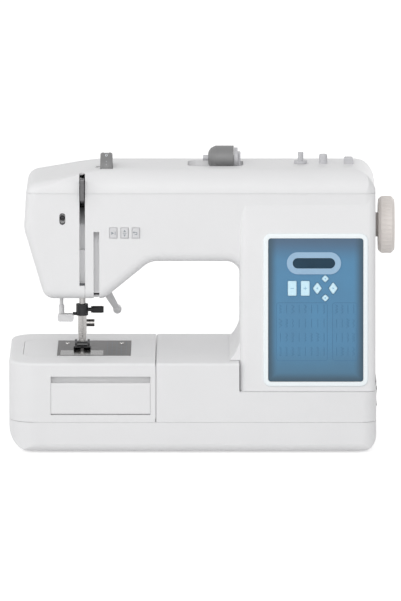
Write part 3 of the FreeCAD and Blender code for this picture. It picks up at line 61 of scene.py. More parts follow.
# lowest corner, highest corner and middle of a node at rest
def nodeBox(name):
    low, high = (placeInMm(corner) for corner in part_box(name))
    return low, high, (low + high) / 2


# a place on a joint's axis
def jointSpot(name):
    return placeInMm(joints[name]["pos_m"])


# colours are written as sRGB hex, shaders want linear
def linear(hexText):
    values = []
    for start in (0, 2, 4):
        level = int(hexText[start:start + 2], 16) / 255.0
        values.append(level / 12.92 if level <= 0.04045 else ((level + 0.055) / 1.055) ** 2.4)
    return (values[0], values[1], values[2], 1.0)


# adds one node, sets its fields, then fills or links its inputs, by name or by number: a Mix node has its
# factor at 0 and its colours at 6 and 7, a Map Range its value at 0, its limits at 1 to 4
def addNode(tree, kind, inputs=None, **settings):
    node = tree.nodes.new(kind)
    for field, value in settings.items():
        setattr(node, field, value)
    for key, value in (inputs or {}).items():
        if isinstance(value, (bpy.types.NodeSocket, list)):
            for source in value if isinstance(value, list) else [value]:
                tree.links.new(source, node.inputs[key])
        else:
            node.inputs[key].default_value = value
    return node


# a material with its shader; fixed holds what is the same all over the surface
def freshMaterial(name, fixed):
    material = bpy.data.materials.new(name)
    material.use_nodes = True
    tree = material.node_tree
    tree.nodes.clear()
    shader = addNode(tree, "ShaderNodeBsdfPrincipled", fixed)
    addNode(tree, "ShaderNodeOutputMaterial", {"Surface": shader.outputs[0]})
    place = addNode(tree, "ShaderNodeTexCoord").outputs["Object"]
    return material, tree, shader, place


noiseSpan = (0.3, 0.7)  # nearly all of a noise texture lies between these


# lays a finish on a shader: one pattern carries the colour, one the relief and, where it sways, the gloss
def laySkin(tree, shader, colour, grain, look, skin):
    tint = addNode(tree, "ShaderNodeMix", {0: colour.outputs[0], 6: linear(look["dark"]),
                                           7: linear(look["light"])}, data_type="RGBA")
    tree.links.new(tint.outputs[2], shader.inputs["Base Color"])
    if "sway" in skin:
        gloss = addNode(tree, "ShaderNodeMapRange",
                        {0: grain.outputs[0], 1: noiseSpan[0], 2: noiseSpan[1],
                         3: look["rough"] - skin["sway"], 4: look["rough"] + skin["sway"]})
        tree.links.new(gloss.outputs[0], shader.inputs["Roughness"])
    bump = addNode(tree, "ShaderNodeBump", {"Height": grain.outputs[0], "Strength": look["bump"],
                                            "Distance": skin["relief"] * mm})
    tree.links.new(bump.outputs[0], shader.inputs["Normal"])


# injection-moulded plastic: spark-eroded grain in the gloss and bump, faint drift of the colour
mouldSkin = {"sway": 0.06, "relief": 0.05, "ior": 1.53}


def mouldedPlastic(name, look):
    material, tree, shader, place = freshMaterial(name, {"IOR": mouldSkin["ior"]})
    drift = addNode(tree, "ShaderNodeTexNoise",
                    {"Vector": place, "Scale": 1.0 / (look["drift"] * mm), "Detail": 2.0})
    grain = addNode(tree, "ShaderNodeTexNoise",
                    {"Vector": place, "Scale": 1.0 / (look["grain"] * mm), "Detail": 3.0})
    laySkin(tree, shader, drift, grain, look, mouldSkin)
    return material


ink = {"grain": 0.4, "rough": 0.60, "bump": 0.10}
plastics = {
    # ABS, textured tool: dry satin white, the grain is drawn at 0.9 mm so that it shows
    "abs_white": {"dark": "e6e6e7", "light": "ececed", "drift": 70, "grain": 0.9,
                  "rough": 0.46, "bump": 0.18},
    # ABS, polished tool: smoother white round the control panel
    "abs_gloss_white": {"dark": "f0f7fa", "light": "f4fafc", "drift": 50, "grain": 1.4,
                        "rough": 0.24, "bump": 0.02},
    # ABS, warm grey of the handwheel
    "abs_warm_grey": {"dark": "e2dbd6", "light": "eae4e0", "drift": 25, "grain": 0.8,
                      "rough": 0.42, "bump": 0.15},
    # ABS, mid grey of the dial and the caps on spool pin and handwheel
    "abs_mid_grey": {"dark": "7b7b7b", "light": "888889", "drift": 20, "grain": 0.8,
                     "rough": 0.40, "bump": 0.15},
    # ABS, pale grey of the spool pin and the winder
    "abs_pale_grey": {"dark": "c2c2c5", "light": "cdcdd0", "drift": 15, "grain": 0.8,
                      "rough": 0.38, "bump": 0.10},
    # ABS, light grey of the three small buttons on the arm
    "abs_light_grey": {"dark": "d2d2d4", "light": "dadadc", "drift": 15, "grain": 0.8,
                       "rough": 0.38, "bump": 0.10},
    # PA66, black: dull, slightly waxy, for the switch, inlet and clamp
    "nylon_black": {"dark": "1c1c1e", "light": "26262a", "drift": 15, "grain": 0.7,
                    "rough": 0.50, "bump": 0.15},
    # silicone keys, cool white with a soft skin
    "silicone_key": {"dark": "c8ebfb", "light": "d3f2fe", "drift": 12, "grain": 0.7,
                     "rough": 0.52, "bump": 0.08},
    # polycarbonate print, light blue border of the display
    "polycarbonate_pale_blue": {"dark": "8eb1cf", "light": "9bbed9", "drift": 25, "grain": 0.6,
                                "rough": 0.35, "bump": 0.06},
    # FR4 laminate with green solder resist
    "board_laminate": {"dark": "1f5a35", "light": "2a6b41", "drift": 6, "grain": 0.5,
                       "rough": 0.35, "bump": 0.08},
    # screen inks: thin, dry and slightly uneven
    "ink_white": {**ink, "dark": "dfe6ea", "light": "eaf0f3", "drift": 3},
    "ink_sky": {**ink, "dark": "86b3d1", "light": "94bfda", "drift": 4},
    "ink_deep_blue": {**ink, "dark": "3b6d93", "light": "44779b", "drift": 4},
    "ink_slate": {**ink, "dark": "5b666f", "light": "67727b", "drift": 3},
    "ink_silver": {**ink, "dark": "8d9499", "light": "999fa5", "drift": 3},
    # nitrile rubber: near black and dead matt
    "rubber_black": {"dark": "18181a", "light": "222224", "drift": 8, "grain": 0.6,
                     "rough": 0.75, "bump": 0.25},
}
finish = {name: mouldedPlastic(name, look) for name, look in plastics.items()}

# metal: brushed or cast, the lines or grit come from stretched noise
metalSkin = {"sway": 0.08, "relief": 0.04}


def workedMetal(name, look):
    material, tree, shader, place = freshMaterial(name, {"Metallic": 1.0})
    stretch = addNode(tree, "ShaderNodeMapping", {"Vector": place, "Scale": look["stretch"]})
    lines = addNode(tree, "ShaderNodeTexNoise",
                    {"Vector": stretch.outputs[0], "Scale": 1.0 / (look["grain"] * mm), "Detail": 4.0})
    laySkin(tree, shader, lines, lines, look, metalSkin)
    return material


ground = {"stretch": (1.0, 1.0, 0.2), "grain": 0.6}
metals = {
    # stainless sheet, brushed along the bed: grey lines, soft reflections; its dark grey is painted shade of
    # the head and painted dark reflection
    "stainless_plate_shaded": {"dark": "4c4a4b", "light": "5b595a", "stretch": (0.05, 1.0, 1.0), "grain": 0.5,
                          "rough": 0.42, "bump": 0.10},
    # ground and nickelled steel of bars, shafts and needle: bright, with fine lines
    "steel_nickelled": {**ground, "dark": "a3a1a0", "light": "bdbbb9", "rough": 0.24, "bump": 0.05},
    # steel of the take-up lever: its dark grey is painted shade and painted dark reflection, with a soft
    # sheen
    "steel_lever_shaded": {**ground, "dark": "5e5e60", "light": "717071", "rough": 0.34, "bump": 0.06},
    # steel of the presser foot and the face screw: nearly black as painted shade and painted dark
    # reflection, with a soft sheen
    "steel_blackened": {**ground, "dark": "3a3a3c", "light": "4c4b4c", "rough": 0.34, "bump": 0.06},
    # die-cast aluminium: grey, sandy skin
    "aluminium_cast": {"dark": "8d8f92", "light": "a3a5a8", "stretch": (1.0, 1.0, 1.0), "grain": 0.8,
                       "rough": 0.55, "bump": 0.30},
    # sintered bronze of the bushes: brown and finely pored
    "bronze_sintered": {"dark": "8a6a3c", "light": "a5824c", "stretch": (1.0, 1.0, 1.0), "grain": 0.4,
                        "rough": 0.40, "bump": 0.15},
}
finish.update({name: workedMetal(name, look) for name, look in metals.items()})

# clear or smoked mouldings and the display pane: glossy, light passes where clear is above 0
clearSkin = {"relief": 0.05}


def clearPlastic(name, look):
    fixed = {"Roughness": look["rough"], "Transmission Weight": look["clear"], "IOR": look["ior"]}
    material, tree, shader, place = freshMaterial(name, fixed)
    ripple = addNode(tree, "ShaderNodeTexNoise",
                     {"Vector": place, "Scale": 1.0 / (look["ripple"] * mm), "Detail": 1.0})
    laySkin(tree, shader, ripple, ripple, look, clearSkin)
    return material


clears = {
    # smoked polycarbonate slide cover: grey-brown, see-through when close
    "polycarbonate_smoked": {"dark": "3f3d3c", "light": "4a4847", "ripple": 20, "bump": 0.05,
                             "rough": 0.16, "clear": 0.40, "ior": 1.58},
    # acrylic lamp lens: frosted, bright
    "acrylic_lamp": {"dark": "e9eef0", "light": "f4f7f8", "ripple": 4, "bump": 0.05,
                     "rough": 0.30, "clear": 0.70, "ior": 1.49},
    # acrylic pane over a switched-off display: dark blue-grey, smooth, and dulled by an anti-glare coat
    "acrylic_display": {"dark": "1a3648", "light": "264458", "ripple": 18, "bump": 0.05,
                        "rough": 0.12, "clear": 0.0, "ior": 1.2},
}
finish.update({name: clearPlastic(name, look) for name, look in clears.items()})

# frame of the control panel: u along it, v up its slope, w out of its face; its keys are pressed along w
panel = {"gap": 0.2, "face": 1.8}  # room round the printed sheet, and the sheet's thickness
press = joints["stitch_key_left_press"]["axis"]
panelLean = math.atan2(-press[2], press[1])
rise, run = math.cos(panelLean), math.sin(panelLean)
low, high, middle = nodeBox("control_panel")
panelBase = Vector((low.x - panel["gap"], low.y - panel["gap"] * run + panel["face"] * rise,
                    low.z - panel["gap"] * rise))
panelWidth = high.x - low.x + 2 * panel["gap"]
panelHeight = (high.z - low.z - panel["face"] * run) / rise + 2 * panel["gap"]
panelTurn = math.radians(90) - panelLean
panelPlace = Matrix.Translation(panelBase) @ Matrix.Rotation(panelTurn, 4, "X")

# screen-printed polycarbonate overlay: blue ink with velvet texture; painted shade darkens it towards the
# top and the bottom, and to slate along the edges
overlayLook = {"mid": "4a89b2", "cloud": "487b9f", "cloudSize": 35, "top": ("44617c", 26.0),
               "low": ("44708c", 45.0), "edge": ("2f4c5e", 11.0), "grain": 0.7, "bump": 0.08, "relief": 0.03,
               "rough": 0.42, "ior": 1.50}


def printedOverlay(name, look):
    material, tree, shader, place = freshMaterial(name, {"Roughness": look["rough"], "IOR": look["ior"]})
    flat = addNode(tree, "ShaderNodeMapping", {"Vector": place, "Location": panelBase * mm,
                                               "Rotation": (panelTurn, 0, 0)}, vector_type="TEXTURE")
    parts = addNode(tree, "ShaderNodeSeparateXYZ", {0: flat.outputs[0]})
    u, v = parts.outputs[0], parts.outputs[1]
    right = addNode(tree, "ShaderNodeMath", {0: panelWidth * mm, 1: u}, operation="SUBTRACT")
    above = addNode(tree, "ShaderNodeMath", {0: panelHeight * mm, 1: v}, operation="SUBTRACT")
    sides = addNode(tree, "ShaderNodeMath", {0: u, 1: right.outputs[0]}, operation="MINIMUM")
    nearest = addNode(tree, "ShaderNodeMath", {0: sides.outputs[0], 1: v}, operation="MINIMUM")
    cloud = addNode(tree, "ShaderNodeTexNoise",
                    {"Vector": place, "Scale": 1.0 / (look["cloudSize"] * mm), "Detail": 2.0})
    tint = addNode(tree, "ShaderNodeMix",
                   {0: cloud.outputs[0], 6: linear(look["cloud"]), 7: linear(look["mid"])}, data_type="RGBA")
    # each band of painted shade fades out over its width, the next one is laid over it
    for border, away in (("top", above.outputs[0]), ("low", v), ("edge", nearest.outputs[0])):
        colour, width = look[border]
        shadeFade = addNode(tree, "ShaderNodeMapRange", {0: away, 1: 0.0, 2: width * mm, 3: 1.0, 4: 0.0},
                       interpolation_type="SMOOTHSTEP")
        tint = addNode(tree, "ShaderNodeMix", {0: shadeFade.outputs[0], 6: tint.outputs[2], 7: linear(colour)},
                       data_type="RGBA")
    tree.links.new(tint.outputs[2], shader.inputs["Base Color"])
    grain = addNode(tree, "ShaderNodeTexNoise",
                    {"Vector": place, "Scale": 1.0 / (look["grain"] * mm), "Detail": 2.0})
    bump = addNode(tree, "ShaderNodeBump", {"Height": grain.outputs[0], "Strength": look["bump"],
                                            "Distance": look["relief"] * mm})
    tree.links.new(bump.outputs[0], shader.inputs["Normal"])
    return material


finish["polycarbonate_printed_blue"] = printedOverlay("polycarbonate_printed_blue", overlayLook)
print("finishes made:", len(finish))

# finish of every CAD node
nodeFinish = {
    "abs_white": ["base_tray", "bed_housing", "free_arm", "front_cover", "rear_cover", "face_cover",
                  "top_cover", "extension_table", "table_door", "lifter_lever", "needle_threader"],
    "abs_gloss_white": ["panel_bezel"],
    "abs_warm_grey": ["handwheel"],
    "abs_mid_grey": ["tension_dial", "spool_cap", "bobbin_case"],
    "steel_lever_shaded": ["take_up_lever"],
    "abs_pale_grey": ["spool_pin", "winder_stop", "bobbin_winder", "bobbin"],
    "abs_light_grey": ["start_stop_button", "needle_position_button", "reverse_button"],
    "silicone_key": ["stitch_key_left", "stitch_key_right", "arrow_pad"],
    "polycarbonate_pale_blue": ["display_bezel"],
    "polycarbonate_printed_blue": ["control_panel"],
    "acrylic_display": ["lcd_window"],
    "acrylic_lamp": ["lamp_lens"],
    "polycarbonate_smoked": ["bobbin_cover"],
    "nylon_black": ["power_switch", "mains_inlet", "needle_clamp", "shaft_pulley", "lower_pulley",
                    "motor_pulley", "hook_drive_gear"],
    "stainless_plate_shaded": ["needle_plate"],
    "steel_nickelled": ["needle", "needle_bar", "presser_bar", "foot_holder", "presser_foot",
                        "upper_shaft", "lower_shaft", "feed_dog", "screws", "connecting_rod", "rotary_hook"],
    "aluminium_cast": ["frame_casting", "crank", "drive_motor", "needle_bar_frame"],
    "bronze_sintered": ["bushes"],
    "board_laminate": ["circuit_boards"],
    "rubber_black": ["rubber_feet", "timing_belt", "motor_belt"],
}
for finishName, names in nodeFinish.items():
    for name in names:
        for slot in nodes[name].material_slots:
            slot.material = finish[finishName]
print("finishes given to", sum(len(names) for names in nodeFinish.values()), "nodes")


# mesh helpers, in mm: u, v, w are turned into the object's frame by a matrix
flatPlace = Matrix.Identity(4)
# u to the right, v up, w towards the user
frontPlace = Matrix.Rotation(math.radians(90), 4, "X")
# u to the back, v up, w to the right
rightPlace = Matrix(((0, 0, 1, 0), (1, 0, 0, 0), (0, 1, 0, 0), (0, 0, 0, 1)))


def boxOutline(u0, u1, v0, v1):
    return [(u0, v0), (u1, v0), (u1, v1), (u0, v1)]


def roundOutline(u0, u1, v0, v1, radius, steps=6):
    outline = []
    for u, v, start in ((u1 - radius, v0 + radius, -90), (u1 - radius, v1 - radius, 0),
                        (u0 + radius, v1 - radius, 90), (u0 + radius, v0 + radius, 180)):
        for step in range(steps + 1):
            angle = math.radians(start + 90 * step / steps)
            outline.append((u + radius * math.cos(angle), v + radius * math.sin(angle)))
    return outline


# a triangle that points at an angle, its corners at one reach from (u, v)
def arrowOutline(u, v, aim, reach):
    angles = [math.radians(aim + spread) for spread in (0, 120, 240)]
    return [(u + reach * math.cos(angle), v + reach * math.sin(angle)) for angle in angles]


# one vertex for each corner of an outline at one height
def outlineRing(shape, outline, level, place):
    return [shape.verts.new(place @ Vector((u, v, level)) * mm) for u, v in outline]


def slab(shape, outline, low, high, place):
    count = len(outline)
    rings = [outlineRing(shape, outline, level, place) for level in (low, high)]
    shape.faces.new(rings[0][::-1])
    shape.faces.new(rings[1])
    for i in range(count):
        j = (i + 1) % count
        shape.faces.new((rings[0][i], rings[0][j], rings[1][j], rings[1][i]))


def frameSlab(shape, outer, inner, low, high, place):
    count = len(outer)
    rings = [outlineRing(shape, line, level, place)
             for line, level in ((outer, low), (outer, high), (inner, high), (inner, low))]
    for i in range(count):
        j = (i + 1) % count
        for k in range(4):
            one, two = rings[k], rings[(k + 1) % 4]
            shape.faces.new((one[i], one[j], two[j], two[i]))


# turned about w from (radius, height) points that start and end on the axis
def turned(shape, profile, place, steps=40):
    around = [math.tau * k / steps for k in range(steps)]
    rings = []
    for radius, height in profile:
        ring = [(radius * math.cos(angle), radius * math.sin(angle)) for angle in around]
        rings.append(outlineRing(shape, ring if radius > 0 else ring[:1], height, place))
    for one, two in zip(rings, rings[1:]):
        for k in range(steps):
            n = (k + 1) % steps
            corners = [one[k % len(one)], one[n % len(one)], two[n % len(two)], two[k % len(two)]]
            shape.faces.new(list(dict.fromkeys(corners)))


meshCare = {"merge": 0.001, "sharp": 35.0}  # mm and degrees


def closeMesh(name, shape):
    bmesh.ops.remove_doubles(shape, verts=shape.verts, dist=meshCare["merge"] * mm)
    bmesh.ops.dissolve_degenerate(shape, edges=shape.edges, dist=meshCare["merge"] * mm)
    bmesh.ops.recalc_face_normals(shape, faces=shape.faces)
    mesh = bpy.data.meshes.new(name)
    shape.to_mesh(mesh)
    shape.free()
    mesh.polygons.foreach_set("use_smooth", [True] * len(mesh.polygons))
    mesh.set_sharp_from_angle(angle=math.radians(meshCare["sharp"]))
    return mesh


# puts a finished mesh into the scene, on its body, with its finish
def addPiece(name, mesh, body, finishName):
    if not mesh.materials:
        mesh.materials.append(finish[finishName])
    piece = bpy.data.objects.new(name, mesh)
    scene.collection.objects.link(piece)
    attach(piece, body)
    return piece


# geometry-node trees: named inputs at one end, realised instances and their finish at the other
def startTree(name, **inputs):
    tree = bpy.data.node_groups.new(name, "GeometryNodeTree")
    for kind, keys in {"Geometry": ["Geometry"], **inputs, "Material": ["Finish"]}.items():
        for key in keys:
            tree.interface.new_socket(key, in_out="INPUT", socket_type="NodeSocket" + kind)
    tree.interface.new_socket("Geometry", in_out="OUTPUT", socket_type="NodeSocketGeometry")
    return tree, addNode(tree, "NodeGroupInput").outputs


def endTree(tree, given, geometry):
    real = addNode(tree, "GeometryNodeRealizeInstances", {0: geometry})
    painted = addNode(tree, "GeometryNodeSetMaterial",
                      {"Geometry": real.outputs[0], "Material": given["Finish"]})
    addNode(tree, "NodeGroupOutput", {0: painted.outputs[0]})


# runs a tree once and adds the plain mesh it gives: lengths are in mm with a decimal point, counts without
def growPiece(name, tree, look, source=None, place=flatPlace):
    carrier = bpy.data.objects.new(name + "_carrier", source or bpy.data.meshes.new(name + "_source"))
    scene.collection.objects.link(carrier)
    modifier = carrier.modifiers.new("grow", "NODES")
    modifier.node_group = tree
    values = {"Finish": finish[look["finish"]]}
    for key, value in look.items():
        if isinstance(value, tuple):
            values[key] = [part * mm for part in value]
        else:
            values[key] = value * mm if isinstance(value, float) else value
    for item in tree.interface.items_tree:
        if item.in_out == "INPUT" and item.name in values:
            modifier[item.identifier] = values[item.name]
    mesh = bpy.data.meshes.new_from_object(carrier.evaluated_get(bpy.context.evaluated_depsgraph_get()))
    mesh.name = name
    mesh.transform(place)
    carrier.modifiers.remove(modifier)
    bpy.data.objects.remove(carrier)
    return addPiece(name, mesh, look["body"], look["finish"])


# white channels behind the thread slots: the left one gets deeper where the take-up lever swings,
# over a shelf
channels = {"half": 3.0, "wall": 1.2, "play": 0.02, "front": -53.6, "shallow": -45.0, "deep": -40.0,
            "left": -127.0, "leftLow": 176.0, "leftStep": 212.0, "leftHigh": 238.0,
            "right": -112.0, "rightLow": 165.6, "rightHigh": 233.0}
wall, play, front = channels["wall"], channels["play"], channels["front"]
inner, outer, left = channels["half"], channels["half"] + wall, channels["left"]
runs = [(left, channels["leftLow"], channels["leftStep"], channels["shallow"]),
        (left, channels["leftStep"] + play, channels["leftHigh"], channels["deep"]),
        (channels["right"], channels["rightLow"], channels["rightHigh"], channels["shallow"])]
shape = bmesh.new()
for x, low, high, back in runs:
    slab(shape, [(x - outer, front), (x - inner, front), (x - inner, back), (x + inner, back),
                 (x + inner, front), (x + outer, front), (x + outer, back + wall), (x - outer, back + wall)],
         low, high, flatPlace)
shelf = boxOutline(left - outer, left + outer, channels["shallow"] + wall + play, channels["deep"] + wall)
slab(shape, shelf, channels["leftStep"] - wall, channels["leftStep"], flatPlace)
addPiece("threadChannels", closeMesh("threadChannels", shape), "machine_body", "abs_white")

# white well round the take-up lever: two cheeks, and a floor that slopes under the lever's lowest place
well = {"top": 280.0, "floor": [(-38.78, 238.7), (-20.5, 249.2), (-10.0, 252.0)]}
sill = (channels["deep"], channels["leftHigh"])
corner = well["floor"][1]
bottom = [*well["floor"], *[(y, z - wall) for y, z in well["floor"][::-1]]]
cheek = [(front, sill[1]), sill, corner, (corner[0], well["top"]), (front, well["top"])]
shape = bmesh.new()
slab(shape, cheek, left - outer, left - inner, rightPlace)
slab(shape, cheek, left + inner, left + outer, rightPlace)
slab(shape, bottom, left - inner + play, left + inner - play, rightPlace)
addPiece("leverWell", closeMesh("leverWell", shape), "machine_body", "abs_white")

# tongues that close the seams a little way in, as on real covers: straight ones (x0, x1, y0, y1, low, high),
# and one that runs round under the top cover from one side of the lever's slot to the other
seams = {
    "trayFront": (-178.0, 170.0, -89.3, -87.5, 33.9, 34.36),
    "columnFront": (42.0, 178.0, -85.2, -83.6, 66.58, 67.02),
    "tableEnd": (-49.44, -49.04, -89.3, -87.5, 38.0, 94.0),
    "trayBack": (-178.0, 170.0, 87.5, 89.3, 33.9, 34.36),
}
topSeam = {"left": -186.5, "right": 184.0, "depth": 56.0, "round": 11.0, "in": (0.7, 2.5),
           "gap": (-130.1, -123.9), "overlap": 0.02}
shape = bmesh.new()
for x0, x1, y0, y1, low, high in seams.values():
    slab(shape, boxOutline(x0, x1, y0, y1), low, high, flatPlace)
lines = []
for draw in topSeam["in"]:
    side = topSeam["depth"] - draw
    bend = roundOutline(topSeam["left"] + draw, topSeam["right"] - draw, -side, side,
                        topSeam["round"] - draw)
    lines.append([(topSeam["gap"][1], -side), *bend, (topSeam["gap"][0], -side)])
slab(shape, [*lines[0], *lines[1][::-1]], nodeBox("front_cover")[1].z - topSeam["overlap"],
     nodeBox("top_cover")[0].z + topSeam["overlap"], flatPlace)
addPiece("seamTongues", closeMesh("seamTongues", shape), "machine_body", "abs_white")

# pan behind the finger groove over the accessory door
groove = {"x0": -162.0, "x1": -53.0, "low": 66.0, "high": 84.6, "lip": 83.4, "front": -87.6, "back": -83.6,
          "wall": 1.0}
back, end = groove["back"], groove["back"] + groove["wall"]
shape = bmesh.new()
slab(shape, [(back, groove["low"]), (end, groove["low"]), (end, groove["high"]),
             (groove["front"], groove["high"]), (groove["front"], groove["lip"]), (back, groove["lip"])],
     groove["x0"], groove["x1"], rightPlace)
addPiece("groovePan", closeMesh("groovePan", shape), "table", "abs_white")

# black sleeve in the oval screw pocket of the face cover: painted shade that darkens the pocket
pocket = {"x": -148.0, "z": 247.0, "radius": 3.05, "half": 6.25, "wall": 0.35, "mouth": 55.7, "floor": 49.2}
ovals = []
for draw in (0.0, pocket["wall"]):
    wide, tall = pocket["radius"] - draw, pocket["half"] - draw
    ovals.append(roundOutline(pocket["x"] - wide, pocket["x"] + wide,
                              pocket["z"] - tall, pocket["z"] + tall, wide))
shape = bmesh.new()
frameSlab(shape, ovals[0], ovals[1], pocket["floor"], pocket["mouth"], frontPlace)
addPiece("pocketShadeSleeve", closeMesh("pocketShadeSleeve", shape), "machine_body", "nylon_black")
print("channels, groove pan and screw sleeve made")


# ribs round a wheel that turns about X
ribFacets = 10
ribTree, given = startTree("ribRing", Int=["Count"], Float=["Radius", "Length", "Width"], Vector=["Centre"])
spots = addNode(ribTree, "GeometryNodeMeshLine",
                {"Count": given["Count"], "Start Location": given["Centre"], "Offset": (0.0, 0.0, 0.0)})
halfWidth = addNode(ribTree, "ShaderNodeMath", {0: given["Width"], 1: 0.5}, operation="MULTIPLY")
rib = addNode(ribTree, "GeometryNodeMeshCylinder",
              {"Vertices": ribFacets, "Radius": halfWidth.outputs[0], "Depth": given["Length"]})
lift = addNode(ribTree, "ShaderNodeCombineXYZ", {"Z": given["Radius"]})
laid = addNode(ribTree, "GeometryNodeTransform",
               {"Geometry": rib.outputs["Mesh"], "Translation": lift.outputs[0],
                "Rotation": (0.0, math.radians(90), 0.0)})
step = addNode(ribTree, "ShaderNodeMath", {0: math.tau, 1: given["Count"]}, operation="DIVIDE")
number = addNode(ribTree, "GeometryNodeInputIndex")
angle = addNode(ribTree, "ShaderNodeMath", {0: number.outputs[0], 1: step.outputs[0]}, operation="MULTIPLY")
turn = addNode(ribTree, "ShaderNodeCombineXYZ", {"X": angle.outputs[0]})
ring = addNode(ribTree, "GeometryNodeInstanceOnPoints",
               {"Points": spots.outputs[0], "Instance": laid.outputs[0], "Rotation": turn.outputs[0]})
endTree(ribTree, given, ring.outputs[0])

wheel = {"ribsIn": 8.75}  # from the wheel's outer face
wheelAxis, wheelFace = jointSpot("handwheel_turn"), nodeBox("handwheel")[1].x
dial = {"ribsOut": 3.6, "radius": 17.0, "numbers": 10, "height": 6.0, "start": 65.0, "ink": 0.06}
dialAxis, dialX = jointSpot("tension_turn"), nodeBox("tension_dial")[2].x
clamp = {"knobX": -111.5}
clampMiddle = nodeBox("needle_clamp")[2]
dialRibs = {"body": "tension", "slot": "wheel_grey", "finish": "abs_mid_grey", "Count": 60, "Radius": 16.7,
            "Length": 2.2, "Width": 1.1}
ribbed = {
    "wheelRibs": {"body": "main_drive", "slot": "wheel_grey", "finish": "abs_warm_grey", "Count": 40,
                  "Radius": 29.2, "Length": 10.5, "Width": 2.6,
                  "Centre": (wheelFace - wheel["ribsIn"], wheelAxis.y, wheelAxis.z)},
    "dialRibsLeft": {**dialRibs, "Centre": (dialX - dial["ribsOut"], dialAxis.y, dialAxis.z)},
    "dialRibsRight": {**dialRibs, "Centre": (dialX + dial["ribsOut"], dialAxis.y, dialAxis.z)},
    "clampRibs": {"body": "needle_carrier", "slot": "dark_plastic", "finish": "nylon_black", "Count": 18,
                  "Radius": 3.4, "Length": 10.0, "Width": 0.8,
                  "Centre": (clamp["knobX"], clampMiddle.y, clampMiddle.z)},
}
for name, look in ribbed.items():
    growPiece(name, ribTree, look)

# numbers printed round the tension dial, 0 to 9, wrapped on its rim
centre = Vector((dialX, dialAxis.y, dialAxis.z))
shape = bmesh.new()
for number in range(dial["numbers"]):
    words = bpy.data.curves.new("dialNumber", "FONT")
    words.body = str(number)
    words.size = dial["height"]
    words.align_x, words.align_y = "CENTER", "CENTER"
    words.extrude = dial["ink"]
    carrier = bpy.data.objects.new("dialNumber", words)
    scene.collection.objects.link(carrier)
    flat = bpy.data.meshes.new_from_object(carrier.evaluated_get(bpy.context.evaluated_depsgraph_get()))
    bpy.data.objects.remove(carrier)
    middle = math.radians(dial["start"] - number * 360 / dial["numbers"])
    for vertex in flat.vertices:
        across, along, out = vertex.co
        angle, reach = middle + along / dial["radius"], dial["radius"] + out
        vertex.co = (centre + Vector((across, -reach * math.cos(angle), reach * math.sin(angle)))) * mm
    shape.from_mesh(flat)
addPiece("dialNumbers", closeMesh("dialNumbers", shape), "tension", "ink_white")

# domed cap in the dish of the handwheel
hubCap = {"in": 3.2, "profile": [(0, 0), (16.5, 0), (16.5, 0.9), (15.2, 1.7), (9, 2.3), (0, 2.6)]}
capPlace = Matrix.Translation((wheelFace - hubCap["in"], wheelAxis.y, wheelAxis.z)) @ rightPlace
shape = bmesh.new()
turned(shape, hubCap["profile"], capPlace)
addPiece("wheelCap", closeMesh("wheelCap", shape), "main_drive", "abs_mid_grey")
print("wheel, dial and clamp dressed")


# cross-recess screws on points that carry the way they face; the shares are of the head's radius or height
screwShares = {"crown": 0.8, "span": 1.3, "sunk": 0.45}
screwFacets = {"head": 28, "shank": 16}
screwSizes = {"Radius": 2.8, "Height": 1.8, "Slot": 0.9, "ShankRadius": 1.5, "ShankLength": 7.0}
screwTree, given = startTree("crossScrews", Float=list(screwSizes))
crown = addNode(screwTree, "ShaderNodeMath", {0: given["Radius"], 1: screwShares["crown"]},
                operation="MULTIPLY")
head = addNode(screwTree, "GeometryNodeMeshCone",
               {"Vertices": screwFacets["head"], "Radius Top": crown.outputs[0],
                "Radius Bottom": given["Radius"], "Depth": given["Height"]})
sunk = addNode(screwTree, "ShaderNodeMath", {0: given["Height"], 1: screwShares["sunk"]},
               operation="MULTIPLY")
drop = addNode(screwTree, "ShaderNodeCombineXYZ", {"Z": sunk.outputs[0]})
seated = addNode(screwTree, "GeometryNodeTransform",
                 {"Geometry": head.outputs[0], "Translation": drop.outputs[0]})
span = addNode(screwTree, "ShaderNodeMath", {0: given["Radius"], 1: screwShares["span"]},
               operation="MULTIPLY")
top = addNode(screwTree, "ShaderNodeCombineXYZ", {"Z": given["Height"]})
cross = []
for along, across in (("X", "Y"), ("Y", "X")):
    size = addNode(screwTree, "ShaderNodeCombineXYZ",
                   {along: span.outputs[0], across: given["Slot"], "Z": given["Height"]})
    bar = addNode(screwTree, "GeometryNodeMeshCube", {"Size": size.outputs[0]})
    raised = addNode(screwTree, "GeometryNodeTransform",
                     {"Geometry": bar.outputs[0], "Translation": top.outputs[0]})
    cross.append(raised.outputs[0])
cut = addNode(screwTree, "GeometryNodeMeshBoolean",
              {"Mesh 1": seated.outputs[0], "Mesh 2": cross, "Self Intersection": True},
              operation="DIFFERENCE", solver="EXACT")
below = addNode(screwTree, "ShaderNodeMath", {0: given["ShankLength"], 1: -0.5}, operation="MULTIPLY")
under = addNode(screwTree, "ShaderNodeCombineXYZ", {"Z": below.outputs[0]})
shank = addNode(screwTree, "GeometryNodeMeshCylinder",
                {"Vertices": screwFacets["shank"], "Radius": given["ShankRadius"],
                 "Depth": given["ShankLength"]})
driven = addNode(screwTree, "GeometryNodeTransform",
                 {"Geometry": shank.outputs[0], "Translation": under.outputs[0]})
whole = addNode(screwTree, "GeometryNodeJoinGeometry", {0: [cut.outputs[0], driven.outputs[0]]})
facing = addNode(screwTree, "GeometryNodeInputNamedAttribute", {"Name": "facing"}, data_type="FLOAT_VECTOR")
aligned = addNode(screwTree, "FunctionNodeAlignRotationToVector", {"Vector": facing.outputs[0]}, axis="Z")
seats = addNode(screwTree, "GeometryNodeInstanceOnPoints",
                {"Points": given["Geometry"], "Instance": whole.outputs[0], "Rotation": aligned.outputs[0]})
endTree(screwTree, given, seats.outputs[0])


def seatPoints(name, seats):
    source = bpy.data.meshes.new(name)
    source.from_pydata([Vector(spot) * mm for spot, facing in seats], [], [])
    facings = source.attributes.new("facing", "FLOAT_VECTOR", "POINT")
    for item, (spot, facing) in zip(facings.data, seats):
        item.vector = facing
    return source
